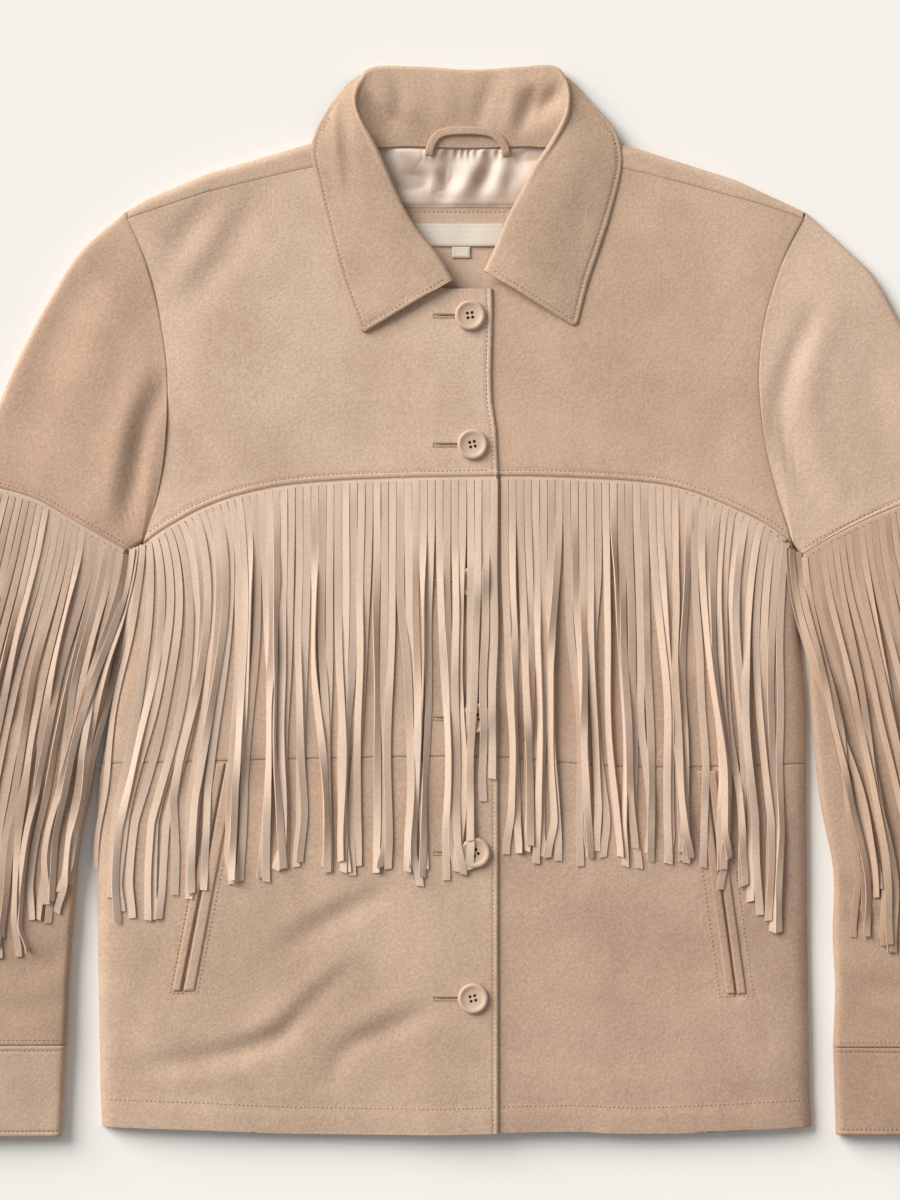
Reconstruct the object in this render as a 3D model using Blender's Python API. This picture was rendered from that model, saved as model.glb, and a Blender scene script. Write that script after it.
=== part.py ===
"""A waist-length suede jacket with fringed yokes, buttoned and laid flat on its back.

The table is z = 0, the neck points along +Y and the hem along -Y. The tables below are in millimetres, with x from
the middle of the neck and y from the hem; the finished jacket is then moved so that its box stands on the origin.
"Right" and "left" are the wearer's, so the right front lies on the -X side and laps over the left front.
"""

import math

import bpy
import numpy as np

MM = 0.001

WALL = 1.5  # suede with its backing
SEAM_GAP = 0.4  # between two pieces at a seam
LAY_GAP = 0.35  # between a piece and what it lies on
TOP = 6.8  # upper face of the fronts and sleeves, lying on the back
EDGE_DROP = 3.4  # how much lower the fronts lie where they meet the back
HEM_DROP = 1.2
LAP_RISE = 1.9  # the right front lies this much higher over the left front
FRINGE_WALL = 2.2
COLLAR_WALL = 2.0
WELT_WALL = 1.3
LOOP_WALL = 1.4
LOOP_TOP = 7.6  # the hanger loop lies on the inner face of the collar's stand
LABEL_WALL = 1.0
LINING_WALL = 1.0
BUTTON_RADIUS = 10.0
BUTTON_HEIGHT = 3.0

# Side seams and armholes: height above the hem, the right side's x and the left side's x.
SIDES = [
    # y, right, left
    (3.0, -240.2, 229.4),
    (31.0, -241.2, 227.8),
    (87.0, -242.1, 227.1),
    (138.0, -243.0, 226.4),
    (219.0, -242.9, 225.7),
    (243.0, -240.5, 225.7),
    (285.0, -233.0, 225.0),
    (330.0, -226.6, 221.1),
    (351.0, -223.4, 220.2),
    (368.0, -219.1, 219.4),
    (388.5, -212.7, 216.0),
    (422.0, -202.7, 205.9),
    (458.0, -197.5, 197.8),
    (500.0, -196.7, 194.2),
    (540.0, -201.9, 198.9),
    (578.0, -212.1, 211.2),
    (603.0, -223.0, 223.6),
    (607.0, -225.6, 226.0),
]
SKIRT_ROWS = [3.0, 31.0, 87.0, 138.0, 219.0, 243.0]
CHEST_ROWS = [243.0, 285.0, 330.0, 351.0, 368.0, 388.5]
YOKE_ROWS = [388.5, 422.0, 458.0, 500.0, 540.0, 578.0, 603.0]

HEM = [(-240.2, 3.0), (-180.0, 2.0), (-90.0, -0.8), (0.0, -0.5), (120.0, 0.0), (229.4, 3.0)]
WAIST_SEAM = [(-240.5, 243.0), (-161.7, 245.1), (-41.1, 247.8), (22.0, 247.5), (113.5, 241.0), (225.7, 243.0)]
YOKE_SEAM = [
    (-212.7, 388.5), (-198.5, 398.6), (-171.4, 413.2), (-142.4, 422.7), (-109.6, 428.3), (-60.0, 431.5),
    (22.0, 433.2), (69.3, 432.3), (115.5, 429.5), (140.6, 425.5), (165.7, 416.9), (196.7, 402.3), (216.0, 388.5),
]
# The forward shoulder seams run on into the front neckline, which the collar covers.
FRONT_TOP = [
    (-223.0, 603.0), (-171.4, 620.1), (-140.4, 627.9), (-109.4, 635.1), (-84.0, 640.0), (-70.0, 622.0),
    (-52.0, 596.0), (-34.0, 573.0), (-14.0, 556.5), (20.0, 556.5), (36.0, 572.0), (52.0, 596.0),
    (70.0, 622.0), (84.0, 640.0), (115.5, 633.7), (152.3, 624.0), (196.8, 612.0), (223.6, 603.0),
]
# The shoulders' silhouette, where the back turns forward, and the back neck seam between them.
BACK_TOP = [
    (-225.6, 607.0), (-210.1, 616.2), (-171.4, 632.7), (-109.4, 651.1), (-84.0, 658.5), (-62.0, 649.8),
    (0.0, 648.0), (62.0, 649.8), (84.0, 658.5), (115.5, 649.2), (179.4, 628.8), (226.0, 607.0),
]
LAP_EDGE = 22.0  # the right front's edge
UNDERLAP_EDGE = -11.0  # the left front's edge, beneath it

BUTTONS = [(3.3, 538.7), (4.9, 453.7), (5.1, 363.0), (7.3, 273.5), (6.6, 184.8), (5.2, 89.0)]

# Sleeves, from the fringe seam to the cuff's edge: the inner and the outer fold.
RIGHT_SLEEVE = [
    # inner x, y, outer x, y
    (-221.8, 383.0, -328.0, 430.0),
    (-224.8, 360.0, -341.0, 388.0),
    (-231.6, 318.0, -351.0, 345.0),
    (-241.0, 262.0, -366.0, 285.0),
    (-246.5, 225.0, -376.0, 235.0),
    (-254.0, 190.0, -381.5, 195.0),
    (-257.5, 150.0, -384.0, 152.0),
    (-261.0, 105.0, -383.5, 105.0),
    (-263.0, 57.5, -381.5, 57.5),
    (-266.0, -3.0, -379.5, -3.0),
]
LEFT_SLEEVE = [
    (222.3, 381.0, 329.0, 426.0),
    (223.6, 352.0, 337.5, 383.0),
    (226.2, 318.0, 346.5, 325.0),
    (230.0, 262.0, 355.5, 262.0),
    (235.0, 216.0, 359.5, 215.0),
    (243.5, 172.0, 362.0, 172.0),
    (243.0, 130.0, 363.0, 127.0),
    (244.5, 95.0, 362.8, 92.0),
    (243.3, 56.0, 362.3, 56.0),
    (245.0, -2.0, 360.4, -2.0),
]
CUFF_START = 8  # the row of the cuff seam
RIGHT_SLEEVE_SEAM = [(-221.8, 383.0), (-256.5, 402.3), (-281.8, 416.9), (-306.9, 424.6), (-328.0, 430.0)]
LEFT_SLEEVE_SEAM = [(222.3, 381.0), (247.2, 395.5), (286.8, 413.0), (329.0, 426.0)]
RIGHT_CAP = [(-225.6, 607.0), (-254.6, 580.5), (-275.9, 547.5), (-293.4, 514.6), (-306.9, 483.8), (-328.0, 430.0)]
LEFT_CAP = [(226.0, 607.0), (251.0, 584.3), (270.4, 565.0), (286.8, 535.9), (303.6, 502.9), (329.0, 426.0)]

# The lower ends of the fringe.
RIGHT_FRINGE_END = [(-238.0, 150.0), (-200.0, 156.0), (-150.0, 168.0), (-100.0, 174.0), (-10.0, 178.0), (21.6, 182.0)]
LEFT_FRINGE_END = [(22.6, 184.0), (150.0, 182.0), (175.0, 166.0), (195.0, 150.0), (223.0, 140.0)]

# Pocket welts: centre line's top and bottom, and width.
WELTS = {
    "welt_right_outer": ((-161.2, 243.5), (-190.4, 93.5), 5.0),
    "welt_right_inner": ((-153.0, 243.5), (-181.6, 93.5), 7.6),
    "welt_left_inner": ((155.2, 238.5), (175.0, 91.5), 5.6),
    "welt_left_outer": ((162.8, 238.5), (182.6, 91.5), 5.6),
}

# The collar, from the right front end round the back to the left front end. The fall turns from lying on the
# stand, at 0 degrees, through standing outside it, at 90, to lying beneath it, at 180.
COLLAR = [
    # neck seam x, y, z, roll line x, y, z, outer edge x, y, z, turn of the fall
    (-22.0, 556.5, 10.3, -10.5, 560.5, 12.4, -68.6, 526.0, 9.7, 0.0),
    (-35.0, 576.0, 9.7, -21.0, 578.0, 12.0, -81.5, 562.0, 9.0, 0.0),
    (-48.0, 592.0, 9.0, -33.5, 594.5, 11.6, -91.7, 599.3, 8.6, 0.0),
    (-58.0, 609.0, 8.6, -44.0, 612.5, 11.4, -97.5, 631.2, 8.6, 0.0),
    (-65.0, 625.0, 8.6, -53.5, 634.0, 11.8, -102.0, 648.0, 8.8, 20.0),
    (-67.0, 638.0, 8.6, -62.0, 653.0, 12.4, -104.0, 661.0, 8.6, 45.0),
    (-64.0, 647.5, 8.2, -70.0, 668.0, 12.6, -100.0, 673.5, 6.5, 80.0),
    (-58.0, 650.5, 6.4, -73.5, 682.0, 11.0, -90.5, 687.0, 3.6, 115.0),
    (-50.0, 651.2, 4.8, -69.5, 694.0, 7.6, -78.0, 690.0, 1.6, 150.0),
    (-40.0, 651.2, 4.2, -59.0, 701.0, 4.6, -61.0, 672.0, 1.1, 180.0),
    (-20.0, 650.5, 4.2, -28.0, 701.0, 3.8, -30.0, 658.0, 1.1, 180.0),
    (2.0, 650.0, 4.2, 2.0, 699.5, 3.7, 2.0, 654.5, 1.1, 180.0),
    (22.0, 650.5, 4.2, 30.0, 700.5, 3.8, 32.0, 658.0, 1.1, 180.0),
    (40.0, 651.2, 4.2, 56.0, 702.0, 4.6, 59.0, 672.0, 1.1, 180.0),
    (48.0, 651.2, 4.8, 65.0, 695.5, 7.6, 74.5, 690.0, 1.6, 150.0),
    (58.0, 650.5, 6.4, 68.0, 684.0, 11.0, 88.0, 684.0, 3.6, 115.0),
    (64.0, 647.5, 8.2, 66.0, 668.0, 12.6, 100.0, 670.0, 6.5, 80.0),
    (67.0, 637.0, 8.6, 58.0, 652.0, 12.4, 104.0, 655.0, 8.6, 45.0),
    (65.0, 623.0, 8.6, 48.5, 637.0, 11.8, 103.4, 636.0, 8.8, 20.0),
    (57.0, 608.0, 8.6, 40.0, 620.0, 11.4, 97.0, 608.0, 8.6, 0.0),
    (46.5, 592.0, 8.6, 31.0, 603.0, 11.4, 89.0, 583.0, 8.6, 0.0),
    (36.0, 577.5, 8.6, 23.0, 583.5, 11.4, 81.0, 559.2, 8.6, 0.0),
    (27.0, 562.5, 8.6, 15.0, 566.5, 11.4, 73.9, 530.0, 8.6, 0.0),
]


# ---------------------------------------------------------------- materials

def finish(name, colour, roughness):
    material = bpy.data.materials.new(name)
    material.use_nodes = True
    shader = material.node_tree.nodes["Principled BSDF"]
    shader.inputs["Base Color"].default_value = (*colour, 1.0)
    shader.inputs["Roughness"].default_value = roughness
    shader.inputs["Metallic"].default_value = 0.0
    return material


# ---------------------------------------------------------------- shapes

def across(table, xs):
    """Points of a line that runs along x, at the given x."""
    line = np.array(table, dtype=float)
    return np.column_stack([xs, np.interp(xs, line[:, 0], line[:, 1])])


def along(table, count):
    """Evenly spaced points along a line."""
    line = np.array(table, dtype=float)
    steps = np.linalg.norm(np.diff(line, axis=0), axis=1)
    run = np.concatenate([[0.0], np.cumsum(steps)])
    wanted = np.linspace(0.0, run[-1], count)
    return np.column_stack([np.interp(wanted, run, line[:, k]) for k in range(line.shape[1])])


def side_x(y, column):
    table = np.array(SIDES)
    return np.interp(y, table[:, 0], table[:, column])


def side_line(rows, column):
    return np.column_stack([side_x(rows, column), rows])


def patch(bottom, top, start, end):
    """A grid of points filling the space between four lines that meet at their ends."""
    u = np.linspace(0.0, 1.0, len(bottom))[None, :, None]
    v = np.linspace(0.0, 1.0, len(start))[:, None, None]
    between_rows = (1 - v) * bottom[None] + v * top[None]
    between_columns = (1 - u) * start[:, None] + u * end[:, None]
    corners = (
        (1 - u) * (1 - v) * bottom[0] + u * (1 - v) * bottom[-1] + (1 - u) * v * top[0] + u * v * top[-1]
    )
    return between_rows + between_columns - corners


def step_in(edge, inner, gap=SEAM_GAP / 2):
    """Moves an edge's points towards the next row."""
    away = inner - edge
    return edge + away * (gap / np.linalg.norm(away, axis=-1, keepdims=True))


def seam_allowance(grid):
    """Draws all four edges of a grid in by half a seam gap."""
    grid = grid.copy()
    grid[0] = step_in(grid[0], grid[1])
    grid[-1] = step_in(grid[-1], grid[-2])
    grid[:, 0] = step_in(grid[:, 0], grid[:, 1])
    grid[:, -1] = step_in(grid[:, -1], grid[:, -2])
    return grid


def solid(name, points, faces, material):
    mesh = bpy.data.meshes.new(name)
    mesh.from_pydata([tuple(MM * c for c in p) for p in points], [], faces)
    mesh.shade_smooth()
    mesh.set_sharp_from_angle(angle=math.radians(40))
    mesh.materials.append(material)
    piece = bpy.data.objects.new(name, mesh)
    bpy.context.scene.collection.objects.link(piece)
    return piece


def wall_between(name, upper, lower, material):
    """A wall closed between two grids of the same shape, the first one on top."""
    rows, columns = upper.shape[:2]
    count = rows * columns
    faces = []
    for i in range(rows - 1):
        for j in range(columns - 1):
            a, b = i * columns + j, (i + 1) * columns + j
            faces.append((a, a + 1, b + 1, b))
            faces.append((count + a, count + b, count + b + 1, count + a + 1))
    rim = [j for j in range(columns)]
    rim += [i * columns + columns - 1 for i in range(1, rows)]
    rim += [(rows - 1) * columns + j for j in range(columns - 2, -1, -1)]
    rim += [i * columns for i in range(rows - 2, 0, -1)]
    for a, b in zip(rim, rim[1:] + rim[:1]):
        faces.append((b, a, count + a, count + b))
    points = np.concatenate([upper.reshape(-1, 3), lower.reshape(-1, 3)])
    return solid(name, points, faces, material)


def level_at(height):
    """The upper face of a piece that lies level."""
    return lambda x, y: np.full(x.shape, height)


def lying(name, grid, top, wall, material):
    """A piece whose upper face lies at the height top(x, y)."""
    high = np.dstack([grid, top(grid[..., 0], grid[..., 1])])
    low = high.copy()
    low[..., 2] -= wall
    return wall_between(name, high, low, material)


# ---------------------------------------------------------------- the body

def ease(value, start, end):
    t = np.clip((value - start) / (end - start), 0.0, 1.0)
    return t * t * (3 - 2 * t)


def front_top(x, y):
    """Height of the fronts' upper face: low where they meet the back, and a little lower at the hem."""
    from_side = np.minimum(x - side_x(y, 1), side_x(y, 2) - x)
    below_armhole = ease(y, 400.0, 365.0)
    silhouette = np.array(BACK_TOP)
    from_shoulder = np.interp(x, silhouette[:, 0], silhouette[:, 1]) - y
    beside_neck = ease(np.abs(x), 62.0, 84.0)
    drop = np.maximum(
        below_armhole * np.exp(-np.maximum(from_side, 0.0) / 9.0),
        beside_neck * np.exp(-np.maximum(from_shoulder, 0.0) / 4.0),
    )
    height = TOP - EDGE_DROP * drop - HEM_DROP * np.exp(-np.maximum(y, 0.0) / 12.0)
    return np.maximum(height, 2 * WALL + LAY_GAP)


def lapped_top(x, y):
    """The right front's upper face, which climbs over the left front's edge."""
    return front_top(x, y) + LAP_RISE * ease(x, -60.0, UNDERLAP_EDGE - 3.0)


def panel(bottom, top, rows, xs_bottom, xs_top, side_column, inner_edge):
    """A front panel's grid: one side on the side seam or armhole, the other on the front edge."""
    low = across(bottom, xs_bottom)
    high = across(top, xs_top)
    rows = np.array(rows)
    side = side_line(rows, side_column)
    edge_rows = np.interp(rows, [rows[0], rows[-1]], [low[-1, 1], high[-1, 1]])
    if inner_edge < 0:
        edge_rows = np.interp(rows, [rows[0], rows[-1]], [low[0, 1], high[0, 1]])
    edge = np.column_stack([np.full(len(rows), inner_edge), edge_rows])
    if side_column == 1:
        return seam_allowance(patch(low, high, side, edge))
    return seam_allowance(patch(low, high, edge, side))


def columns(start, end, shares):
    return start + (end - start) * np.array(shares)


def build_fronts(suede):
    right_shares = [0.0, 0.02, 0.06, 0.14, 0.27, 0.4, 0.53, 0.66, 0.78, 0.88, 1.0]
    left_shares = [0.0, 0.1, 0.22, 0.34, 0.47, 0.6, 0.73, 0.86, 0.94, 0.98, 1.0]
    neck_right = [-223.0, -212.0, -197.0, -171.4, -140.4, -109.4, -84.0, -52.0, -34.0, -14.0, LAP_EDGE]
    neck_left = [UNDERLAP_EDGE, 8.0, 28.0, 52.0, 84.0, 115.5, 152.3, 180.0, 205.0, 216.0, 223.6]
    bands = [("skirt", HEM, WAIST_SEAM, SKIRT_ROWS), ("chest", WAIST_SEAM, YOKE_SEAM, CHEST_ROWS)]
    for band, bottom, top, rows in bands:
        low = columns(side_x(rows[0], 1), LAP_EDGE, right_shares)
        high = columns(side_x(rows[-1], 1), LAP_EDGE, right_shares)
        grid = panel(bottom, top, rows, low, high, side_column=1, inner_edge=LAP_EDGE)
        lying(f"front_right_{band}", grid, lapped_top, WALL, suede)
        low = columns(UNDERLAP_EDGE, side_x(rows[0], 2), left_shares)
        high = columns(UNDERLAP_EDGE, side_x(rows[-1], 2), left_shares)
        grid = panel(bottom, top, rows, low, high, side_column=2, inner_edge=UNDERLAP_EDGE)
        lying(f"front_left_{band}", grid, front_top, WALL, suede)
    low = columns(side_x(YOKE_ROWS[0], 1), LAP_EDGE, right_shares)
    grid = panel(YOKE_SEAM, FRONT_TOP, YOKE_ROWS, low, np.array(neck_right), side_column=1, inner_edge=LAP_EDGE)
    lying("front_right_yoke", grid, lapped_top, WALL, suede)
    low = columns(UNDERLAP_EDGE, side_x(YOKE_ROWS[0], 2), left_shares)
    grid = panel(YOKE_SEAM, FRONT_TOP, YOKE_ROWS, low, np.array(neck_left), side_column=2, inner_edge=UNDERLAP_EDGE)
    lying("front_left_yoke", grid, front_top, WALL, suede)


def build_back(suede):
    rows = np.array(sorted(set(SKIRT_ROWS + CHEST_ROWS + YOKE_ROWS + [607.0])))
    shares = np.array([0.0, 0.125, 0.25, 0.3125, 0.3625, 0.5, 0.6375, 0.6875, 0.75, 0.875, 1.0])
    xs_top = np.array([-225.6, -171.4, -109.4, -84.0, -62.0, 0.0, 62.0, 84.0, 115.5, 179.4, 226.0])
    low = across(HEM, columns(-240.2, 229.4, shares))
    high = across(BACK_TOP, xs_top)
    grid = seam_allowance(patch(low, high, side_line(rows, 1), side_line(rows, 2)))
    lying("back", grid, level_at(WALL), WALL, suede)
    # the shoulder edges of the back, turned forward to the shoulder seams
    turned = {
        "back_shoulder_right": [-222.4, -197.0, -171.4, -140.4, -109.4, -86.0],
        "back_shoulder_left": [86.0, 115.5, 152.3, 196.8, 223.0],
    }
    for name, xs in turned.items():
        seam = across(FRONT_TOP, np.array(xs))
        fold = across(BACK_TOP, np.array(xs))
        strip = np.array([seam + (fold - seam) * share for share in (0.0, 0.4, 0.75, 1.0)])
        lying(name, seam_allowance(strip), front_top, WALL, suede)


# ---------------------------------------------------------------- sleeves

def end_arc(count=5):
    """Quarter steps round a folded edge, from the table up to the top, as (inward share, height share)."""
    angles = np.linspace(-math.pi / 2, math.pi / 2, count)
    return [(1 - math.cos(a), (1 + math.sin(a)) / 2) for a in angles]


def ring(line, inset):
    """A flattened tube's section over a line in plan, drawn in by inset on every side."""
    fold = TOP / 2 - inset
    low, high = inset, TOP - inset
    points = []

    def place(start, toward, distance, z):
        step = toward - start
        spot = start + step * (distance / np.linalg.norm(step))
        points.append((spot[0], spot[1], z))

    for inward, rise in end_arc():
        place(line[0], line[1], inset + fold * inward, low + (high - low) * rise)
    for spot in line[1:-1]:
        points.append((spot[0], spot[1], high))
    for inward, rise in reversed(end_arc()):
        place(line[-1], line[-2], inset + fold * inward, low + (high - low) * rise)
    for spot in line[-2:0:-1]:
        points.append((spot[0], spot[1], low))
    return points


def tube(name, lines, material):
    """A flattened sleeve wall along a row of lines in plan, open at both ends."""
    outer = [ring(line, 0.0) for line in lines]
    inner = [ring(line, WALL) for line in lines]
    rings, count = len(lines), len(outer[0])
    points = [p for one in outer + inner for p in one]
    faces = []
    for i in range(rings - 1):
        for j in range(count):
            k = (j + 1) % count
            a, b, c, d = i * count + j, i * count + k, (i + 1) * count + k, (i + 1) * count + j
            shift = rings * count
            faces.append((a, b, c, d))
            faces.append((shift + a, shift + d, shift + c, shift + b))
    for end in (0, rings - 1):
        for j in range(count):
            k = (j + 1) % count
            a, b = end * count + j, end * count + k
            rim = (a, rings * count + a, rings * count + b, b)
            faces.append(rim if end == 0 else rim[::-1])
    if lines[0][0][0] > 0:
        faces = [face[::-1] for face in faces]
    return solid(name, points, faces, material)


def build_sleeve(side, column, stations, seam, silhouette, suede):
    stations = np.array(stations)
    spots = len(YOKE_ROWS) + 1
    armhole = side_line(np.array(YOKE_ROWS + [607.0]), column)
    outward = -1.0 if column == 1 else 1.0
    armhole[:, 0] += outward * SEAM_GAP / 2
    armhole[0] += (outward * 0.8, 1.6)
    seam_line = along(seam, spots)
    shoulder = along(silhouette, 7)
    shoulder[0] = armhole[-1]
    underarm = along([armhole[0], seam_line[0]], 7)
    cap = patch(armhole, seam_line, underarm, shoulder)
    cap[-1] += (0.0, SEAM_GAP / 2)
    tube(f"sleeve_{side}_upper", list(cap), suede)

    share = np.linspace(0.0, 1.0, spots)[:, None]
    bow = seam_line - (seam_line[0] * (1 - share) + seam_line[-1] * share)
    lines = []
    for i, row in enumerate(stations):
        straight = row[:2] * (1 - share) + row[2:] * share
        lines.append(straight + bow * max(0.0, 1.0 - i / 3.0))
    lower = lines[: CUFF_START + 1]
    lower[0] = lower[0] - (0.0, SEAM_GAP / 2)
    lower[-1] = lower[-1] + (0.0, SEAM_GAP / 2)
    tube(f"sleeve_{side}_lower", lower, suede)
    cuff = [lines[CUFF_START] - (0.0, SEAM_GAP), (lines[CUFF_START] + lines[-1]) / 2, lines[-1]]
    tube(f"cuff_{side}", cuff, suede)
    build_sleeve_fringe(side, lines, suede)


def build_sleeve_fringe(side, lines, suede):
    """The reach of a sleeve's strands, from just below its seam."""
    inner_share, outer_share = 0.06, 0.94
    rows = []
    for i in range(0, 8):
        line = lines[i] if i else lines[0] - (0.0, 4.0)
        shares = np.linspace(inner_share, outer_share, 7)
        rows.append(line[0] * (1 - shares[:, None]) + line[-1] * shares[:, None])
        if i < 3:
            rows[-1][1:-1, 1] += 4.0 * (1.0 - i / 3.0)
    rows[-1] = rows[-1] + (0.0, 14.0)
    grid = np.array(rows[::-1])
    if side == "right":
        grid = grid[:, ::-1]
    lying(f"fringe_sleeve_{side}", grid, level_at(TOP + LAY_GAP + FRINGE_WALL), FRINGE_WALL, suede)


# ---------------------------------------------------------------- fringe, pockets and buttons on the fronts

def strand_lift(y):
    """The strands leave the panel as they hang over the pocket welts."""
    return LAY_GAP + 2.0 * ease(y, 400.0, 290.0)


def build_front_fringe(suede):
    band = 4.0
    rows = 6
    xs_top = np.array([-205.0, -190.0, -165.0, -130.0, -90.0, -50.0, -30.0, -16.0, 3.0, 21.6])
    xs_end = np.array([-236.0, -215.0, -180.0, -135.0, -90.0, -50.0, -30.0, -16.0, 3.0, 21.6])
    top = across(YOKE_SEAM, xs_top) - (0.0, band)
    end = across(RIGHT_FRINGE_END, xs_end)
    shares = np.linspace(0.0, 1.0, rows)[:, None]
    outer = end[0] * (1 - shares) + top[0] * shares
    outer[:, 0] -= 4.0 * np.sin(math.pi * shares[:, 0])
    grid = patch(end, top, outer, end[-1] * (1 - shares) + top[-1] * shares)

    def right_height(x, y):
        over_buttons = BUTTON_HEIGHT + 2 * LAY_GAP + 0.2
        lift = np.maximum(strand_lift(y), over_buttons * ease(x, -30.0, -16.0))
        return lapped_top(x, y) + lift + FRINGE_WALL

    lying("fringe_front_right", grid, right_height, FRINGE_WALL, suede)

    xs_top = np.array([22.8, 50.0, 80.0, 115.0, 145.0, 170.0, 190.0, 209.0])
    xs_end = np.array([22.8, 52.0, 84.0, 120.0, 150.0, 178.0, 198.0, 222.0])
    top = across(YOKE_SEAM, xs_top) - (0.0, band)
    end = across(LEFT_FRINGE_END, xs_end)
    grid = patch(end, top, end[0] * (1 - shares) + top[0] * shares, end[-1] * (1 - shares) + top[-1] * shares)
    lying("fringe_front_left", grid, lambda x, y: front_top(x, y) + strand_lift(y) + FRINGE_WALL, FRINGE_WALL, suede)


def build_welts(suede):
    for name, (top, bottom, width) in WELTS.items():
        top, bottom = np.array(top), np.array(bottom)
        shares = np.linspace(0.0, 1.0, 6)[:, None]
        middle = bottom * (1 - shares) + top * shares
        grid = np.stack([middle - (width / 2, 0.0), middle, middle + (width / 2, 0.0)], axis=1)
        lying(name, grid, lambda x, y: front_top(x, y) + LAY_GAP + WELT_WALL, WELT_WALL, suede)


def build_button(name, spot, horn):
    """A turned four-hole button with a raised rim."""
    segments = 24
    base = TOP + LAP_RISE + LAY_GAP
    dish = BUTTON_HEIGHT - 0.7
    profile = [
        # radius, height
        (BUTTON_RADIUS - 1.4, 0.0),
        (BUTTON_RADIUS, 0.9),
        (BUTTON_RADIUS, BUTTON_HEIGHT - 0.8),
        (BUTTON_RADIUS - 0.8, BUTTON_HEIGHT),
        (BUTTON_RADIUS - 2.4, BUTTON_HEIGHT),
        (BUTTON_RADIUS - 3.4, dish),
    ]
    points = []
    for radius, z in profile:
        for k in range(segments):
            angle = 2 * math.pi * k / segments
            points.append((spot[0] + radius * math.cos(angle), spot[1] + radius * math.sin(angle), base + z))
    faces = [tuple(reversed(range(segments))), tuple(range(len(points) - segments, len(points)))]
    for level in range(len(profile) - 1):
        for k in range(segments):
            n = (k + 1) % segments
            a, b = level * segments, (level + 1) * segments
            faces.append((a + k, a + n, b + n, b + k))
    button = solid(name, points, faces, horn)
    hole_radius, hole_spread = 0.9, 1.9
    for index, (i, j) in enumerate([(-1, -1), (1, -1), (1, 1), (-1, 1)]):
        drill_at = (MM * (spot[0] + i * hole_spread), MM * (spot[1] + j * hole_spread), MM * (base + 1.5))
        drill = drill_rod(f"{name}_drill_{index}", drill_at, MM * hole_radius, MM * 8.0)
        cut = button.modifiers.new("hole", "BOOLEAN")
        cut.operation = "DIFFERENCE"
        cut.object = drill


def drill_rod(name, place, radius, length):
    sides = 8
    ring_points = [
        (radius * math.cos(2 * math.pi * k / sides), radius * math.sin(2 * math.pi * k / sides)) for k in range(sides)
    ]
    points = [(x, y, -length / 2) for x, y in ring_points] + [(x, y, length / 2) for x, y in ring_points]
    faces = [tuple(reversed(range(sides))), tuple(range(sides, 2 * sides))]
    faces += [(k, (k + 1) % sides, sides + (k + 1) % sides, sides + k) for k in range(sides)]
    mesh = bpy.data.meshes.new(name)
    mesh.from_pydata(points, [], faces)
    rod = bpy.data.objects.new(name, mesh)
    rod.location = place
    rod.hide_render = True
    rod.display_type = "WIRE"
    bpy.context.scene.collection.objects.link(rod)
    return rod


# ---------------------------------------------------------------- collar and the inside of the neck

def build_collar(suede):
    """One wall folded at the roll line: the stand from the neck seam, and the fall to the outer edge."""
    fold = COLLAR_WALL / 2 + 0.45
    upright = np.array([0.0, 0.0, 1.0])
    convex, concave = [], []
    for row in np.array(COLLAR):
        neck, roll, outer = row[:3], row[3:6], row[6:9]
        turn = math.radians(row[9])
        fall_share = (1 + math.cos(turn)) / 2
        outward = (outer - roll) * fall_share + (roll - neck) * (1 - fall_share)
        outward[2] = 0.0
        outward /= np.linalg.norm(outward)
        to_fall = math.cos(turn) * upright + math.sin(turn) * outward
        to_fold = -math.cos(turn) * outward + math.sin(turn) * upright
        section, away = [], []
        for angle in np.linspace(0.0, math.pi, 5):
            radial = -math.cos(angle) * to_fall + math.sin(angle) * to_fold
            section.append(roll + fold * radial)
            away.append(radial)
        lifted = (section[-1] + outer) / 2 + upright * 1.5 * max(math.cos(turn), 0.0)
        section = [neck, (neck + section[0]) / 2] + section + [lifted, outer]
        away = [-to_fall, -to_fall] + away + [to_fall, to_fall]
        section, away = np.array(section), np.array(away)
        convex.append(section + away * COLLAR_WALL / 2)
        concave.append(section - away * COLLAR_WALL / 2)
    wall_between("collar", np.array(concave), np.array(convex), suede)


def flat_strip(name, left, right, low, high, bottom_z, wall, material):
    xs = np.linspace(0.0, 1.0, 4)
    ys = np.linspace(low, high, 3)
    grid = np.array([[(left[i] + (right[i] - left[i]) * u, y) for u in xs] for i, y in enumerate(ys)])
    return lying(name, grid, level_at(bottom_z + wall), wall, material)


def build_neck(suede, satin, woven):
    inside = WALL + LAY_GAP
    flat_strip("neck_facing", (-14.0, -32.0, -50.0), (26.0, 40.0, 52.0), 552.0, 610.4, inside, WALL, suede)
    flat_strip("neck_lining", (-50.0, -56.0, -60.0), (52.0, 57.0, 60.0), 610.8, 648.0, inside, LINING_WALL, satin)
    on_facing = inside + WALL + LAY_GAP
    flat_strip("label", (-32.6, -32.9, -33.3), (25.0, 25.4, 25.7), 585.0, 600.0, on_facing, LABEL_WALL, woven)
    flat_strip("size_tab", (-8.6, -8.6, -8.6), (3.3, 3.3, 3.3), 577.4, 584.6, on_facing, LABEL_WALL, woven)
    middle = np.array([(-23.5, 645.0), (-21.0, 653.0), (-15.5, 659.5), (0.0, 660.6), (17.0, 659.5), (24.0, 654.0),
                       (28.0, 645.0)])
    half = 2.7
    tangent = np.gradient(middle, axis=0)
    side = np.column_stack([-tangent[:, 1], tangent[:, 0]])
    side *= half / np.linalg.norm(side, axis=1, keepdims=True)
    grid = np.stack([middle - side, middle + side])
    lying("hanger_loop", grid, level_at(LOOP_TOP), LOOP_WALL, suede)


# ---------------------------------------------------------------- the whole jacket

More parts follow.
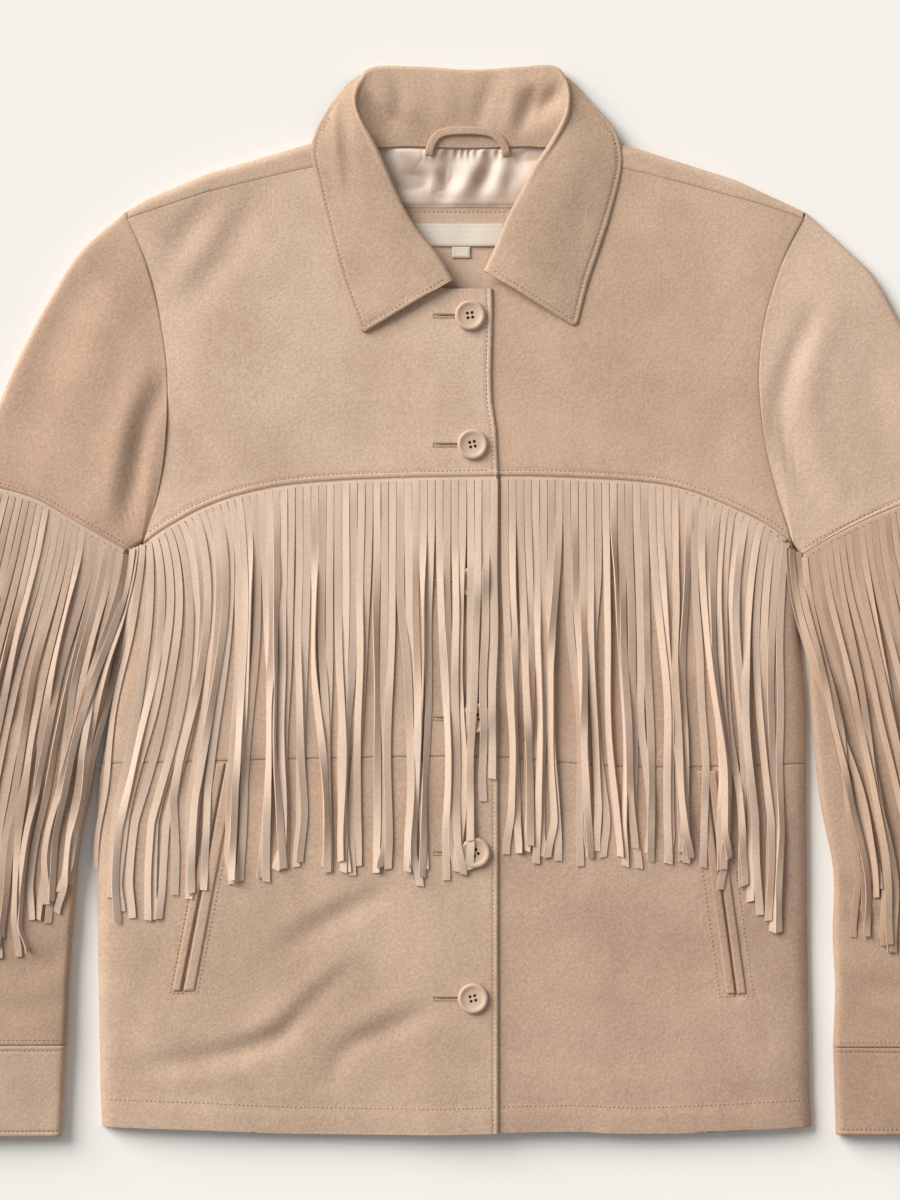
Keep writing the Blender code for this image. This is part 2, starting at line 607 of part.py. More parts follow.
def stand_on_origin(pieces):
    """Moves the jacket so that the middle of its underside box is at the origin."""
    corners = np.array([tuple(v.co) for piece in pieces for v in piece.data.vertices])
    middle = (corners.min(axis=0) + corners.max(axis=0)) / 2
    for piece in bpy.data.objects:
        piece.location.x -= middle[0]
        piece.location.y -= middle[1]


for old in list(bpy.data.objects):
    bpy.data.objects.remove(old, do_unlink=True)

tan_suede = finish("suede", (0.60, 0.43, 0.30), 0.95)
champagne_satin = finish("satin", (0.76, 0.65, 0.54), 0.4)
woven_label = finish("label", (0.74, 0.71, 0.63), 0.85)
tan_horn = finish("button", (0.46, 0.32, 0.22), 0.55)

build_back(tan_suede)
build_fronts(tan_suede)
build_sleeve("right", 1, RIGHT_SLEEVE, RIGHT_SLEEVE_SEAM, RIGHT_CAP, tan_suede)
build_sleeve("left", 2, LEFT_SLEEVE, LEFT_SLEEVE_SEAM, LEFT_CAP, tan_suede)
build_front_fringe(tan_suede)
build_welts(tan_suede)
for number, place in enumerate(BUTTONS, start=1):
    build_button(f"button_{number}", place, tan_horn)
build_collar(tan_suede)
build_neck(tan_suede, champagne_satin, woven_label)
stand_on_origin([piece for piece in bpy.data.objects if not piece.hide_render])
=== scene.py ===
"""A fringed suede jacket, buttoned and laid flat on its back on a pale table, seen from straight above.

Sizes are in millimetres in the jacket's own frame, x from the middle of the neck and y up from the hem, as a
pattern cutter would lay it out. "Right" and "left" are the wearer's: the right front lies on the -x side.
"""

import math

import bpy
import numpy as np
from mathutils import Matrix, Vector
from mathutils.bvhtree import BVHTree


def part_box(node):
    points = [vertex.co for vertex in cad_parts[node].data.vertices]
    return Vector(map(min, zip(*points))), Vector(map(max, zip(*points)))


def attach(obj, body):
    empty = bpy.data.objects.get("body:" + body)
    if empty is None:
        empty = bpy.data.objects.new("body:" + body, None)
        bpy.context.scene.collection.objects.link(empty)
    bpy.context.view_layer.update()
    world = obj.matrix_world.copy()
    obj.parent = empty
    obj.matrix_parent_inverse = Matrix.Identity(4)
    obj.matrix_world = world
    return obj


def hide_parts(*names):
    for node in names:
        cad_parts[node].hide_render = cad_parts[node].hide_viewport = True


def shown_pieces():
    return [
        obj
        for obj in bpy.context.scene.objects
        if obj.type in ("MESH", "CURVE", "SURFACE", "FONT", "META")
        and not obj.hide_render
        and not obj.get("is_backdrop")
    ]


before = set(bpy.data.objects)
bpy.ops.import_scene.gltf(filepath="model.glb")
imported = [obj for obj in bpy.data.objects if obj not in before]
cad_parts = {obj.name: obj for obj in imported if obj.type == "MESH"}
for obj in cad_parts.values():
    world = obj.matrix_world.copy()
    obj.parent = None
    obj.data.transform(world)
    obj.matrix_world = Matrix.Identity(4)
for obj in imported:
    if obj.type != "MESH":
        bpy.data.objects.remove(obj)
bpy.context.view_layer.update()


# ---------------------------------------------------------------- table, light and camera
# A pale table top under the jacket, a broad lamp up to the left and soft light from all round. The camera
# hangs straight above the middle of the jacket, close enough that both sleeves run out of its view.

MM = 0.001
VIEW_HEIGHT = 792 * MM
VIEW_MIDDLE = (-9.9, 351.1)
LENS = 100.0
SENSOR = 36.0
CAMERA_CLEARANCE = 8 * MM  # the camera is set back from this height over the table

button_low, button_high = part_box("button_1")
FIRST_BUTTON = (3.3, 538.7)
ORIGIN = np.array([
    (button_low[0] + button_high[0]) / 2 - MM * FIRST_BUTTON[0],
    (button_low[1] + button_high[1]) / 2 - MM * FIRST_BUTTON[1],
    0.0,
])


def linear(red, green, blue):
    """A colour given as screen values from 0 to 255, as the light it reflects."""
    values = np.array([red, green, blue]) / 255.0
    return np.where(values <= 0.04045, values / 12.92, ((values + 0.055) / 1.055) ** 2.4)


class Wire:
    """A number on its way through a material. Arithmetic on it adds Math nodes."""

    def __init__(self, finish, socket):
        self.finish, self.socket = finish, socket

    def math(self, operation, *values):
        sockets = {place: value for place, value in enumerate(values)}
        return self.finish.node("Math", {"operation": operation}, sockets)

    def __add__(self, other):
        return self.math("ADD", self, other)

    def __rsub__(self, other):
        return self.math("SUBTRACT", other, self)

    def __mul__(self, other):
        return self.math("MULTIPLY", self, other)

    def ease(self, start, end):
        """From 0 at start to 1 at end, level outside them."""
        sockets = {"Value": self, "From Min": start, "From Max": end}
        return self.finish.node("MapRange", {"interpolation_type": "SMOOTHSTEP"}, sockets)


class Finish:
    """One material, built node by node. Values that are the same all over go on the shader's own sockets."""

    def __init__(self, name, uniform):
        self.material = bpy.data.materials.new(name)
        self.material.use_nodes = True
        self.tree = self.material.node_tree
        self.shader = self.tree.nodes["Principled BSDF"]
        for socket, value in uniform.items():
            self.shader.inputs[socket].default_value = value

    def node(self, kind, settings, sockets, output=0):
        made = self.tree.nodes.new("ShaderNode" + kind)
        for key, value in settings.items():
            setattr(made, key, value)
        for key, value in sockets.items():
            self.feed(made.inputs[key], value)
        return Wire(self, made.outputs[output])

    def feed(self, socket, value):
        if isinstance(value, Wire):
            self.tree.links.new(value.socket, socket)
        else:
            socket.default_value = value

    def noise(self, scale, detail=3.0, roughness=0.5, stretch=(1.0, 1.0, 1.0), offset=0.0):
        """Cloudy variation of so many spots to the metre."""
        place = self.node("TexCoord", {}, {}, "Object")
        moved = {"Vector": place, "Scale": stretch, "Location": (offset, offset, offset)}
        place = self.node("Mapping", {}, moved)
        values = {"Vector": place, "Scale": scale, "Detail": detail, "Roughness": roughness}
        return self.node("TexNoise", {}, values)

    def attribute(self, name):
        """A value kept at each point of the piece."""
        return self.node("Attribute", {"attribute_name": name}, {}, "Fac")

    def blend(self, share, first, second):
        """A colour between two, which may be colours or links."""
        made = self.node("Mix", {"data_type": "RGBA"}, {0: share})
        for place, colour in ((6, first), (7, second)):
            value = colour if isinstance(colour, Wire) else (*colour, 1.0)
            self.feed(made.socket.node.inputs[place], value)
        return Wire(self, made.socket.node.outputs[2])

    def relief(self, height, distance, strength, under=None):
        """A surface raised by a height that varies, over another relief if one is given."""
        sockets = {"Height": height, "Distance": distance, "Strength": strength}
        if under is not None:
            sockets["Normal"] = under
        return self.node("Bump", {}, sockets)

    def show(self, **links):
        """Feeds the shader's varying sockets."""
        names = {"colour": "Base Color", "roughness": "Roughness", "normal": "Normal"}
        for key, value in links.items():
            self.feed(self.shader.inputs[names[key]], value)
        return self.material


def table_finish():
    paint = Finish("table_paint", {"Roughness": 0.9, "Specular IOR Level": 0.2})
    cloud = paint.noise(3.0)
    colour = paint.blend(cloud, linear(244, 241, 236), linear(243, 240, 235))
    return paint.show(colour=colour)


def make_table():
    mesh = bpy.data.meshes.new("table")
    half = 6.0
    below = -0.2 * MM
    corners = [(x * half, y * half, below) for x, y in ((-1, -1), (1, -1), (1, 1), (-1, 1))]
    mesh.from_pydata(corners, [], [(0, 1, 2, 3)])
    mesh.materials.append(table_finish())
    top = bpy.data.objects.new("table", mesh)
    bpy.context.scene.collection.objects.link(top)
    top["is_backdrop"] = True


def make_lamp(name, direction, strength, angle, colour):
    """A distant lamp of the given apparent size, shining along a direction."""
    light = bpy.data.lights.new(name, "SUN")
    light.energy = strength
    light.angle = math.radians(angle)
    light.color = colour
    lamp = bpy.data.objects.new(name, light)
    lamp.rotation_mode = "QUATERNION"
    lamp.rotation_quaternion = Vector(direction).to_track_quat("-Z", "Y")
    bpy.context.scene.collection.objects.link(lamp)


make_table()
make_lamp("key_lamp", (0.66, -0.515, -0.47), 4.33, 42.0, (1.0, 0.987, 0.97))
world = bpy.data.worlds.new("soft_light")
world.use_nodes = True
world.node_tree.nodes["Background"].inputs["Color"].default_value = (1.0, 0.995, 0.985, 1.0)
world.node_tree.nodes["Background"].inputs["Strength"].default_value = 0.34
bpy.context.scene.world = world
bpy.context.scene.view_settings.view_transform = "Standard"

camera_data = bpy.data.cameras.new("camera")
camera_data.lens = LENS
camera_data.sensor_width = SENSOR
camera_data.sensor_fit = "AUTO"
camera = bpy.data.objects.new("camera", camera_data)
camera_height = VIEW_HEIGHT * LENS / SENSOR + CAMERA_CLEARANCE
camera.location = ORIGIN + (MM * VIEW_MIDDLE[0], MM * VIEW_MIDDLE[1], camera_height)
bpy.context.scene.collection.objects.link(camera)
bpy.context.scene.camera = camera


# ---------------------------------------------------------------- suede
# Split cowhide with a soft brushed nap, in a warm tan. Every piece is cut from its own part of the skin, so
# its tone shifts a little from the next, with broad cloudy patches, brushed streaks and a fine grain. The
# pieces' tones also carry painted shade: most pieces on the wearer's left, further from the lamp, are set
# darker.

NAP = {"Sheen Weight": 0.12, "Sheen Roughness": 0.5, "Specular IOR Level": 0.15}
RAISED_NAP = (1.055, 1.06, 1.085)  # how the nap's raised and pressed parts differ from the given tones
PRESSED_NAP = (0.93, 0.935, 0.955)
DEEP = 0.55  # how dark it is between the fibres


def suede(name, light, shade, seed):
    """Brushed suede between two tones, given as screen values."""
    hide = Finish(name, NAP)
    light, shade = linear(*light) * RAISED_NAP, linear(*shade) * PRESSED_NAP
    broad = hide.noise(13.0, 3.0, 0.55, (1.0, 1.0, 1.0), seed)
    brushed = hide.noise(60.0, 4.0, 0.6, (1.0, 0.6, 1.0), seed + 3.0)
    fibres = hide.noise(950.0, 3.0, 0.7, (1.0, 1.0, 1.0), seed)
    flecks = hide.noise(480.0, 2.0, 0.6, (1.0, 1.0, 1.0), seed + 7.0)
    cloud = broad.ease(0.30, 0.70) * 0.44 + brushed.ease(0.30, 0.72) * 0.18
    cloud = cloud + flecks.ease(0.32, 0.68) * 0.38
    colour = hide.blend(cloud, shade, light)
    grain = fibres.ease(0.22, 0.78)
    colour = hide.blend(0.30 - grain * 0.46, colour, shade * DEEP)
    # Painted shade: darker beside seams and along turned edges, where their grooves would be in shade.
    colour = hide.blend(hide.attribute("seam") * 0.32, colour, shade * 0.62)
    nap = hide.relief(fibres, 0.22 * MM, 0.55)
    surface = hide.relief(flecks + brushed * 0.8, 0.5 * MM, 0.5, nap)
    return hide.show(colour=colour, roughness=grain * 0.08 + 0.86, normal=surface)


# ---------------------------------------------------------------- back
# The back is cut in one with its shoulder edges turned forward to the shoulder seams. It lies flat on the
# table, and its side seams meet the fronts at the folded edge of the body.

CLOTH = 1.3  # thickness of suede with its backing
FACE_PITCH = 3.6  # between the rows of points on the parts that are seen
HIDDEN_PITCH = 7.0
BACK_BASE = 0.05  # of the back's under face over the table
# The darkening beside seams and along turned edges is painted shade, standing in for the shade in their
# grooves.
SEAM_SHADE = 0.9  # how far the darkening beside a seam reaches

SIDES = np.array([
    # y, right side's x, left side's x
    (3.0, -240.2, 229.4),
    (31.0, -241.2, 227.8),
    (87.0, -242.1, 227.1),
    (138.0, -243.0, 226.4),
    (219.0, -242.9, 225.7),
    (243.0, -240.5, 225.7),
    (285.0, -233.0, 225.0),
    (330.0, -226.6, 221.1),
    (351.0, -223.4, 220.2),
    (368.0, -219.1, 219.4),
    (388.5, -212.7, 216.0),
    (422.0, -202.7, 205.9),
    (458.0, -197.5, 197.8),
    (500.0, -196.7, 194.2),
    (540.0, -201.9, 198.9),
    (578.0, -212.1, 211.2),
    (603.0, -223.0, 223.6),
    (607.0, -225.6, 226.0),
])
HEM = [
    (-240.2, 4.5), (-180.2, 2.6), (-115.5, -0.3), (-22.4, -1.3), (65.3, 0.7), (120.8, -0.7), (229.4, 4.3),
]
BACK_TOP = [
    (-225.6, 607.0), (-210.1, 616.2), (-171.4, 632.7), (-109.4, 651.1), (-84.0, 658.5), (-62.0, 649.8),
    (0.0, 648.0), (62.0, 649.8), (84.0, 658.5), (115.5, 649.2), (179.4, 628.8), (226.0, 607.0),
]


def run_along(line):
    """How far along a line each of its points is."""
    return np.concatenate([[0.0], np.cumsum(np.linalg.norm(np.diff(line, axis=0), axis=1))])


def points_at(distances, run, line):
    """Points between those of a line, which lie at the distances in run."""
    return np.column_stack([np.interp(distances, run, column) for column in line.T])


def smooth_line(table, count):
    """Evenly spaced points along a curve through a table's points."""
    line = np.array(table, dtype=float)
    if len(line) < 3:
        shares = np.linspace(0.0, 1.0, count)[:, None]
        return line[0] * (1 - shares) + line[-1] * shares
    slope = np.gradient(line, np.arange(len(line)), axis=0)
    fine = []
    for i in range(len(line) - 1):
        t = np.linspace(0.0, 1.0, 12, endpoint=False)[:, None]
        fine.append(
            (2 * t**3 - 3 * t**2 + 1) * line[i] + (t**3 - 2 * t**2 + t) * slope[i]
            + (-2 * t**3 + 3 * t**2) * line[i + 1] + (t**3 - t**2) * slope[i + 1]
        )
    fine = np.concatenate(fine + [line[-1:]])
    run = run_along(fine)
    return points_at(np.linspace(0.0, run[-1], count), run, fine)


def at_shares(shares, line):
    """Points at shares of the way through an evenly spaced line."""
    return points_at(shares, np.linspace(0.0, 1.0, len(line)), line)


HEM_LINE = smooth_line(HEM, 200)
BACK_TOP_LINE = np.array(BACK_TOP)
SIDE_LINES = smooth_line(SIDES, 400)


def ease(value, start, end):
    """From 0 at start to 1 at end, level outside them."""
    t = np.clip((value - start) / (end - start), 0.0, 1.0)
    return t * t * (3 - 2 * t)


def bump(distance, width):
    """1 at no distance, falling away smoothly over a width."""
    return np.exp(-((distance / width) ** 2))


def side_x(y, column):
    """The x of the body's side at a height, by its column in the table of sides."""
    return np.interp(y, SIDE_LINES[:, 0], SIDE_LINES[:, column])


def across(line, xs):
    """Points at the given x on a line that runs along x."""
    line = np.array(line)
    return np.column_stack([xs, np.interp(xs, line[:, 0], line[:, 1])])


def shares_over(length, pitch=FACE_PITCH):
    """Where a grid's rows lie, from 0 to 1: close together beside the sewn edges, even between them."""
    close = [0.0, 0.4, 1.0, 1.7, 2.3, 2.8, 3.3, 3.8, 4.4, 5.4, 7.0]
    middle = np.arange(close[-1], length - close[-1], pitch)
    if len(middle) > 2:
        middle = np.linspace(close[-1], length - close[-1], len(middle) + 1)
    places = close[:-1] + list(middle) + [length - step for step in reversed(close[:-1])]
    return np.array(places) / length


def patch(bottom, top, start, end, u, v):
    """A grid of points filling the space between four lines, with its rows at the shares u and v."""
    u = np.array(u)[None, :, None]
    v = np.array(v)[:, None, None]
    corners = (1 - u) * (1 - v) * bottom[0] + u * (1 - v) * bottom[-1]
    corners = corners + (1 - u) * v * top[0] + u * v * top[-1]
    return (1 - v) * bottom[None] + v * top[None] + (1 - u) * start[:, None] + u * end[:, None] - corners


def grid_faces(rows, columns, start=0, ring=False):
    """The faces between a grid's points, closed round each row if it is a ring."""
    wide = columns if ring else columns - 1
    i, j = np.meshgrid(np.arange(rows - 1), np.arange(wide), indexing="ij")
    a = start + i * columns + j
    b = start + i * columns + (j + 1) % columns
    return np.stack([a, b, b + columns, a + columns], axis=-1).reshape(-1, 4)


def mark(piece, name, values):
    """Keeps a value at each point of a piece for its material."""
    layer = piece.data.attributes.new(name, "FLOAT", "POINT")
    layer.data.foreach_set("value", np.array(values, dtype=np.float32).ravel())


def build(name, points, faces, material, seam=None):
    """A mesh piece in the jacket's frame, with its closeness to a seam kept for the material."""
    mesh = bpy.data.meshes.new(name)
    mesh.from_pydata((np.array(points) * MM + ORIGIN).tolist(), [], [list(face) for face in faces])
    mesh.shade_smooth()
    mesh.set_sharp_from_angle(angle=math.radians(50))
    mesh.materials.append(material)
    piece = bpy.data.objects.new(name, mesh)
    bpy.context.scene.collection.objects.link(piece)
    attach(piece, "root")
    if seam is not None:
        mark(piece, "seam", seam)
    return piece


def rim_of(rows, columns):
    """The indices round a grid's edge."""
    rim = list(range(columns))
    rim += [i * columns + columns - 1 for i in range(1, rows)]
    rim += [(rows - 1) * columns + j for j in range(columns - 2, -1, -1)]
    rim += [i * columns for i in range(rows - 2, 0, -1)]
    return rim


def cloth(name, upper, lower, material, seam=None):
    """A closed piece of cloth between its upper and its lower face."""
    rows, columns = upper.shape[:2]
    count = rows * columns
    under = grid_faces(rows, columns, count)[:, ::-1]
    rim = rim_of(rows, columns)
    edge = [(b, a, count + a, count + b) for a, b in zip(rim, rim[1:] + rim[:1])]
    faces = list(grid_faces(rows, columns)) + list(under) + edge
    points = np.concatenate([upper.reshape(-1, 3), lower.reshape(-1, 3)])
    marks = None if seam is None else np.concatenate([seam.ravel(), seam.ravel()])
    return build(name, points, faces, material, marks)


def laid(name, plan, height, material, seam=None, wall=CLOTH):
    """A piece of cloth lying at a height over its plan."""
    return cloth(name, np.dstack([plan, height]), np.dstack([plan, height - wall]), material, seam)


def cut_size(grid):
    """Width, length and area of a grid's cut, in metres."""
    a, b = grid[1:, 1:] - grid[:-1, :-1], grid[1:, :-1] - grid[:-1, 1:]
    if grid.shape[-1] == 2:
        area = np.abs(a[..., 0] * b[..., 1] - a[..., 1] * b[..., 0]).sum() / 2
    else:
        area = np.linalg.norm(np.cross(a, b), axis=-1).sum() / 2
    spans = [np.linalg.norm(np.diff(grid, axis=k), axis=-1).sum(axis=k).max() for k in (1, 0)]
    return (spans[0] * MM, spans[1] * MM), area * MM * MM


def declare(node, cut):
    """Hides the imported part that a cut piece stands for; its flat size and area are worked out but not
    used.
    """
    size, area = cut_size(cut)
    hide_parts(node)


def from_line(grid, line):
    """How far each point of a grid is from a line, in plan."""
    line = np.array(line)
    flat = grid[..., :2].reshape(-1, 2)
    best = np.full(len(flat), 1e9)
    for a, b in zip(line[:-1], line[1:]):
        step = b - a
        t = np.clip(((flat - a) @ step) / (step @ step), 0.0, 1.0)
        best = np.minimum(best, np.linalg.norm(flat - a - t[:, None] * step, axis=1))
    return best.reshape(grid.shape[:2])


def ripple(x, y, seed, wave, height):
    """A gentle uneven swell, the same on every run."""
    draw = np.random.default_rng(seed)
    total = np.zeros_like(x)
    for _ in range(6):
        angle, phase = draw.uniform(0.0, math.pi, 2)
        size = wave * draw.uniform(0.7, 1.6)
        total += np.sin((x * math.cos(angle) + y * math.sin(angle)) * 2 * math.pi / size + 6 * phase)
    return total * height / 3.0


def make_back():
    tall = SIDES[-1, 0] - SIDES[0, 0]
    rows = shares_over(tall, HIDDEN_PITCH)
    columns = shares_over(466.0, HIDDEN_PITCH)
    y = SIDES[0, 0] + rows * tall
    low = across(HEM_LINE, HEM[0][0] + columns * (HEM[-1][0] - HEM[0][0]))
    high = across(BACK_TOP_LINE, BACK_TOP[0][0] + columns * (BACK_TOP[-1][0] - BACK_TOP[0][0]))
    right = np.column_stack([side_x(y, 1), y])
    left = np.column_stack([side_x(y, 2), y])
    right[0], left[0] = low[0], low[-1]
    grid = patch(low, high, right, left, columns, rows)
    height = np.full(grid.shape[:2], BACK_BASE + CLOTH)
    back = laid("back_panel", grid, height, suede("suede_back", (206, 176, 150), (192, 161, 134), 1.0))
    declare("back", grid)


make_back()


# ---------------------------------------------------------------- fronts
# Each front is a yoke, a chest panel behind the fringe and a skirt panel, joined by seams. The right front
# laps over the left one. Yoke seams and front edges are topstitched, and the hem is turned up and stitched.

FACE = 6.7  # how high the fronts lie where they rest on the back
LAP_RISE = 2.0  # of the right front where it lies on the left one
SEAM_GAP = 0.08  # from each panel's edge to the seam's middle
WAIST_Y, ARMHOLE_Y, SHOULDER_Y = 243.0, 388.5, 603.0  # where the seams meet the sides
WAIST_SEAM = [
    (-240.5, 243.0), (-161.7, 245.1), (-41.1, 247.8), (22.0, 247.5), (113.5, 241.0), (225.7, 243.0),
]
YOKE_SEAM = [
    (-212.7, 388.5), (-198.5, 398.6), (-171.4, 413.2), (-142.4, 422.7), (-109.6, 428.3),
    (-60.0, 431.5), (22.0, 433.2), (69.3, 432.3), (115.5, 429.5), (140.6, 425.5), (165.7, 416.9),
    (196.7, 402.3), (216.0, 388.5),
]
FRONT_TOP = [
    (-223.0, 603.0), (-171.4, 620.1), (-140.4, 627.9), (-109.4, 635.1), (-84.0, 640.0), (-70.0, 622.0),
    (-52.0, 596.0), (-34.0, 573.0), (-14.0, 556.5), (20.0, 556.5), (36.0, 572.0), (52.0, 596.0),
    (70.0, 622.0), (84.0, 640.0), (115.5, 633.7), (152.3, 624.0), (196.8, 612.0), (223.6, 603.0),
]
LAP_EDGE = np.array([
    (22.2, -2.0), (22.0, 245.0), (22.2, 433.0), (20.7, 464.0), (18.0, 482.0), (17.4, 501.0),
    (18.4, 540.0), (18.2, 557.0),
])
UNDERLAP = -11.0  # x of the left front's edge, under the right front
YOKE_LINE = smooth_line(YOKE_SEAM, 300)
WAIST_LINE = smooth_line(WAIST_SEAM, 200)
TOP_LINE = np.array(FRONT_TOP)

# Creases of the fronts: soft troughs (negative depth) and ridges along short lines.
BODY_CREASES = [
    # points, width, depth
    ([(-52, 158), (-85, 142), (-118, 122)], 8.0, -2.2),
    ([(-66, 165), (-98, 150), (-126, 134)], 9.0, 0.9),
    ([(-80, 107), (-105, 84), (-125, 63), (-165, 50), (-209, 44)], 7.5, -3.4),
    ([(-76, 118), (-98, 98), (-118, 78), (-150, 66)], 9.0, 2.2),
    ([(-22, 81), (-50, 68), (-78, 55), (-88, 37)], 6.5, -2.2),
    ([(-30, 93), (-60, 79), (-86, 66)], 8.0, 1.0),
    ([(-140, 30), (-175, 24), (-212, 25)], 8.0, -0.9),
    ([(-200, 120), (-214, 88), (-222, 52)], 10.0, -0.9),
    ([(-137, 619), (-158, 585), (-183, 546)], 12.0, -2.1),
    ([(-164, 617), (-182, 595), (-197, 572)], 9.0, -1.8),
    ([(-150, 612), (-168, 585), (-188, 560)], 9.0, 1.2),
    ([(-184, 470), (-172, 445), (-170, 425)], 11.0, -0.8),
    ([(-100, 470), (-60, 462), (-20, 466)], 14.0, -0.7),
    ([(-60, 520), (-30, 500), (0, 498)], 12.0, -0.6),
    ([(150, 600), (164, 572), (176, 540)], 12.0, -1.0),
    ([(176, 480), (170, 455), (160, 432)], 11.0, -0.8),
    ([(60, 470), (95, 462), (130, 465)], 14.0, -0.5),
    ([(50, 515), (85, 500), (110, 505)], 14.0, 0.6),
    ([(60, 130), (110, 112), (150, 112)], 14.0, -0.8),
    ([(40, 60), (90, 50), (140, 58)], 14.0, -0.8),
    ([(110, 85), (150, 78), (185, 84)], 12.0, 0.6),
    ([(196, 230), (204, 170), (203, 100)], 12.0, -0.9),
    ([(150, 30), (180, 22), (210, 26)], 9.0, -0.7),
]
HEM_STITCH = 17.5  # the hem's stitching, above its edge
EDGE_STITCH = 3.6  # topstitching, in from a seam or an edge
YOKE_DROP = 0.45  # how far the yoke's edge turns under at its seams
# Openings of the welt pockets: top and bottom of the slit.
POCKET_SLITS = [((-157.6, 243.2), (-185.6, 93.5)), ((158.9, 238.5), (178.8, 91.5))]


def creases(x, y, table):
    """The height that a table of creases adds, each fading out at its ends."""
    total = np.zeros_like(x)
    flat = np.stack([x.ravel(), y.ravel()], axis=1)
    for line, width, depth in table:
        line = smooth_line(line, 24)
        run = np.linspace(0.0, 1.0, len(line))
        gaps = np.linalg.norm(flat[:, None] - line[None], axis=2)
        nearest = gaps.argmin(axis=1)
        fade = np.sin(math.pi * np.clip(run[nearest] * 0.9 + 0.05, 0.0, 1.0)) ** 0.6
        across_crease = bump(gaps[np.arange(len(flat)), nearest], width)
        total += (depth * fade * across_crease).reshape(x.shape)
    return total


def face_height(x, y):
    """The fronts' upper face, without seams, falling to the folds at the sides and the shoulders."""
    from_side = np.minimum(x - side_x(y, 1), side_x(y, 2) - x)
    side_fold = np.clip(1 - np.maximum(from_side, 0.0) / 9.0, 0.0, 1.0)
    below_armhole = ease(y, 400.0, 366.0)
    from_shoulder = np.interp(x, BACK_TOP_LINE[:, 0], BACK_TOP_LINE[:, 1]) - y
    shoulder_fold = np.clip(1 - np.maximum(from_shoulder, 0.0) / 6.0, 0.0, 1.0)
    beside_neck = ease(np.abs(x), 62.0, 84.0)
    side_drop = below_armhole * (1 - np.sqrt(1 - side_fold**2))
    drop = np.maximum(side_drop, beside_neck * (1 - np.sqrt(1 - shoulder_fold**2)))
    lift = 1.5 * ease(y, 430.0, 300.0)
    crown = (2.0 + 1.2 * lift) * (1 - np.exp(-np.maximum(from_side, 0.0) / 18.0))
    height = FACE + lift + crown + ripple(x, y, 5, 140.0, 0.5) - 1.0 * np.exp(-np.maximum(y, 0.0) / 9.0)
    height -= 1.3 * np.exp(-np.maximum(side_x(y, 2) - x, 0.0) / 13.0) * ease(y, 400.0, 250.0) * (1 - drop)
    return height - (FACE + lift + crown - CLOTH - 1.9) * drop


def pocket_dip(x, y):
    """The slits of the welt pockets draw the cloth in."""
    flat = np.dstack([x, y])
    total = np.zeros_like(x)
    for top, bottom in POCKET_SLITS:
        total += bump(from_line(flat, [top, bottom]), 3.0)
    return total


def shared_height(x, y):
    """The face that both fronts share, with its creases."""
    return face_height(x, y) + creases(x, y, BODY_CREASES)


def lap_over(x):
    """How far the right front rises to lie over the left one."""
    return LAP_RISE * ease(x, -62.0, UNDERLAP - 3.0)


def seam_groove(gap, stitched=True, drop=0.9):
    """An edge turned under at a seam, a soft roll beside it and the line that the stitching draws in."""
    roll = -drop * np.clip(1 - gap / 1.1, 0.0, 1.0) ** 2
    if not stitched:
        return roll * 0.5
    return roll + 0.15 * bump(gap - 1.9, 0.9) - 0.42 * bump(gap - EDGE_STITCH, 0.6)


def lap_edge_x(y):
    """The x of the right front's edge at a height."""
    return np.interp(y, LAP_EDGE[:, 1], LAP_EDGE[:, 0])


def front_grid(side, band):
    """The plan of one front panel, its rows close together beside its seams."""
    low_line, high_line, low_y, high_y, low_edge, high_edge = {
        # lines below and above, their heights at the side and at the front edge
        "skirt": (HEM_LINE, WAIST_LINE, SIDES[0, 0], WAIST_Y, 0.0, 246.0),
        "chest": (WAIST_LINE, YOKE_LINE, WAIST_Y, ARMHOLE_Y, 246.0, 433.0),
        "yoke": (YOKE_LINE, TOP_LINE, ARMHOLE_Y, SHOULDER_Y, 433.0, 557.0),
    }[band]
    rows = shares_over(high_y - low_y)
    columns = shares_over(245.0)
    y = low_y + rows * (high_y - low_y)
    if side == "right":
        low_ends = side_x(low_y, 1), lap_edge_x(low_edge)
        high_ends = side_x(high_y, 1), lap_edge_x(high_edge)
    else:
        low_ends, high_ends = (UNDERLAP, side_x(low_y, 2)), (UNDERLAP, side_x(high_y, 2))
    low = across(low_line, low_ends[0] + columns * (low_ends[1] - low_ends[0]))
    high = across(high_line, high_ends[0] + columns * (high_ends[1] - high_ends[0]))
    middle = -1 if side == "right" else 0
    inner_y = low[middle, 1] + rows * (high[middle, 1] - low[middle, 1])
    if side == "right":
        first = np.column_stack([side_x(y, 1), y])
        last = np.column_stack([lap_edge_x(inner_y), inner_y])
    else:
        first = np.column_stack([np.full(len(rows), UNDERLAP), inner_y])
        last = np.column_stack([side_x(y, 2), y])
    first[0], last[0], first[-1], last[-1] = low[0], low[-1], high[0], high[-1]
    grid = patch(low, high, first, last, columns, rows)
    grid[0, :, 1] += SEAM_GAP
    grid[-1, :, 1] -= SEAM_GAP
    return grid


def front_surface(side, x, y):
    """The height of a front's upper face anywhere, without its seam grooves."""
    height = shared_height(x, y)
    return height + lap_over(x) if side == "right" else height


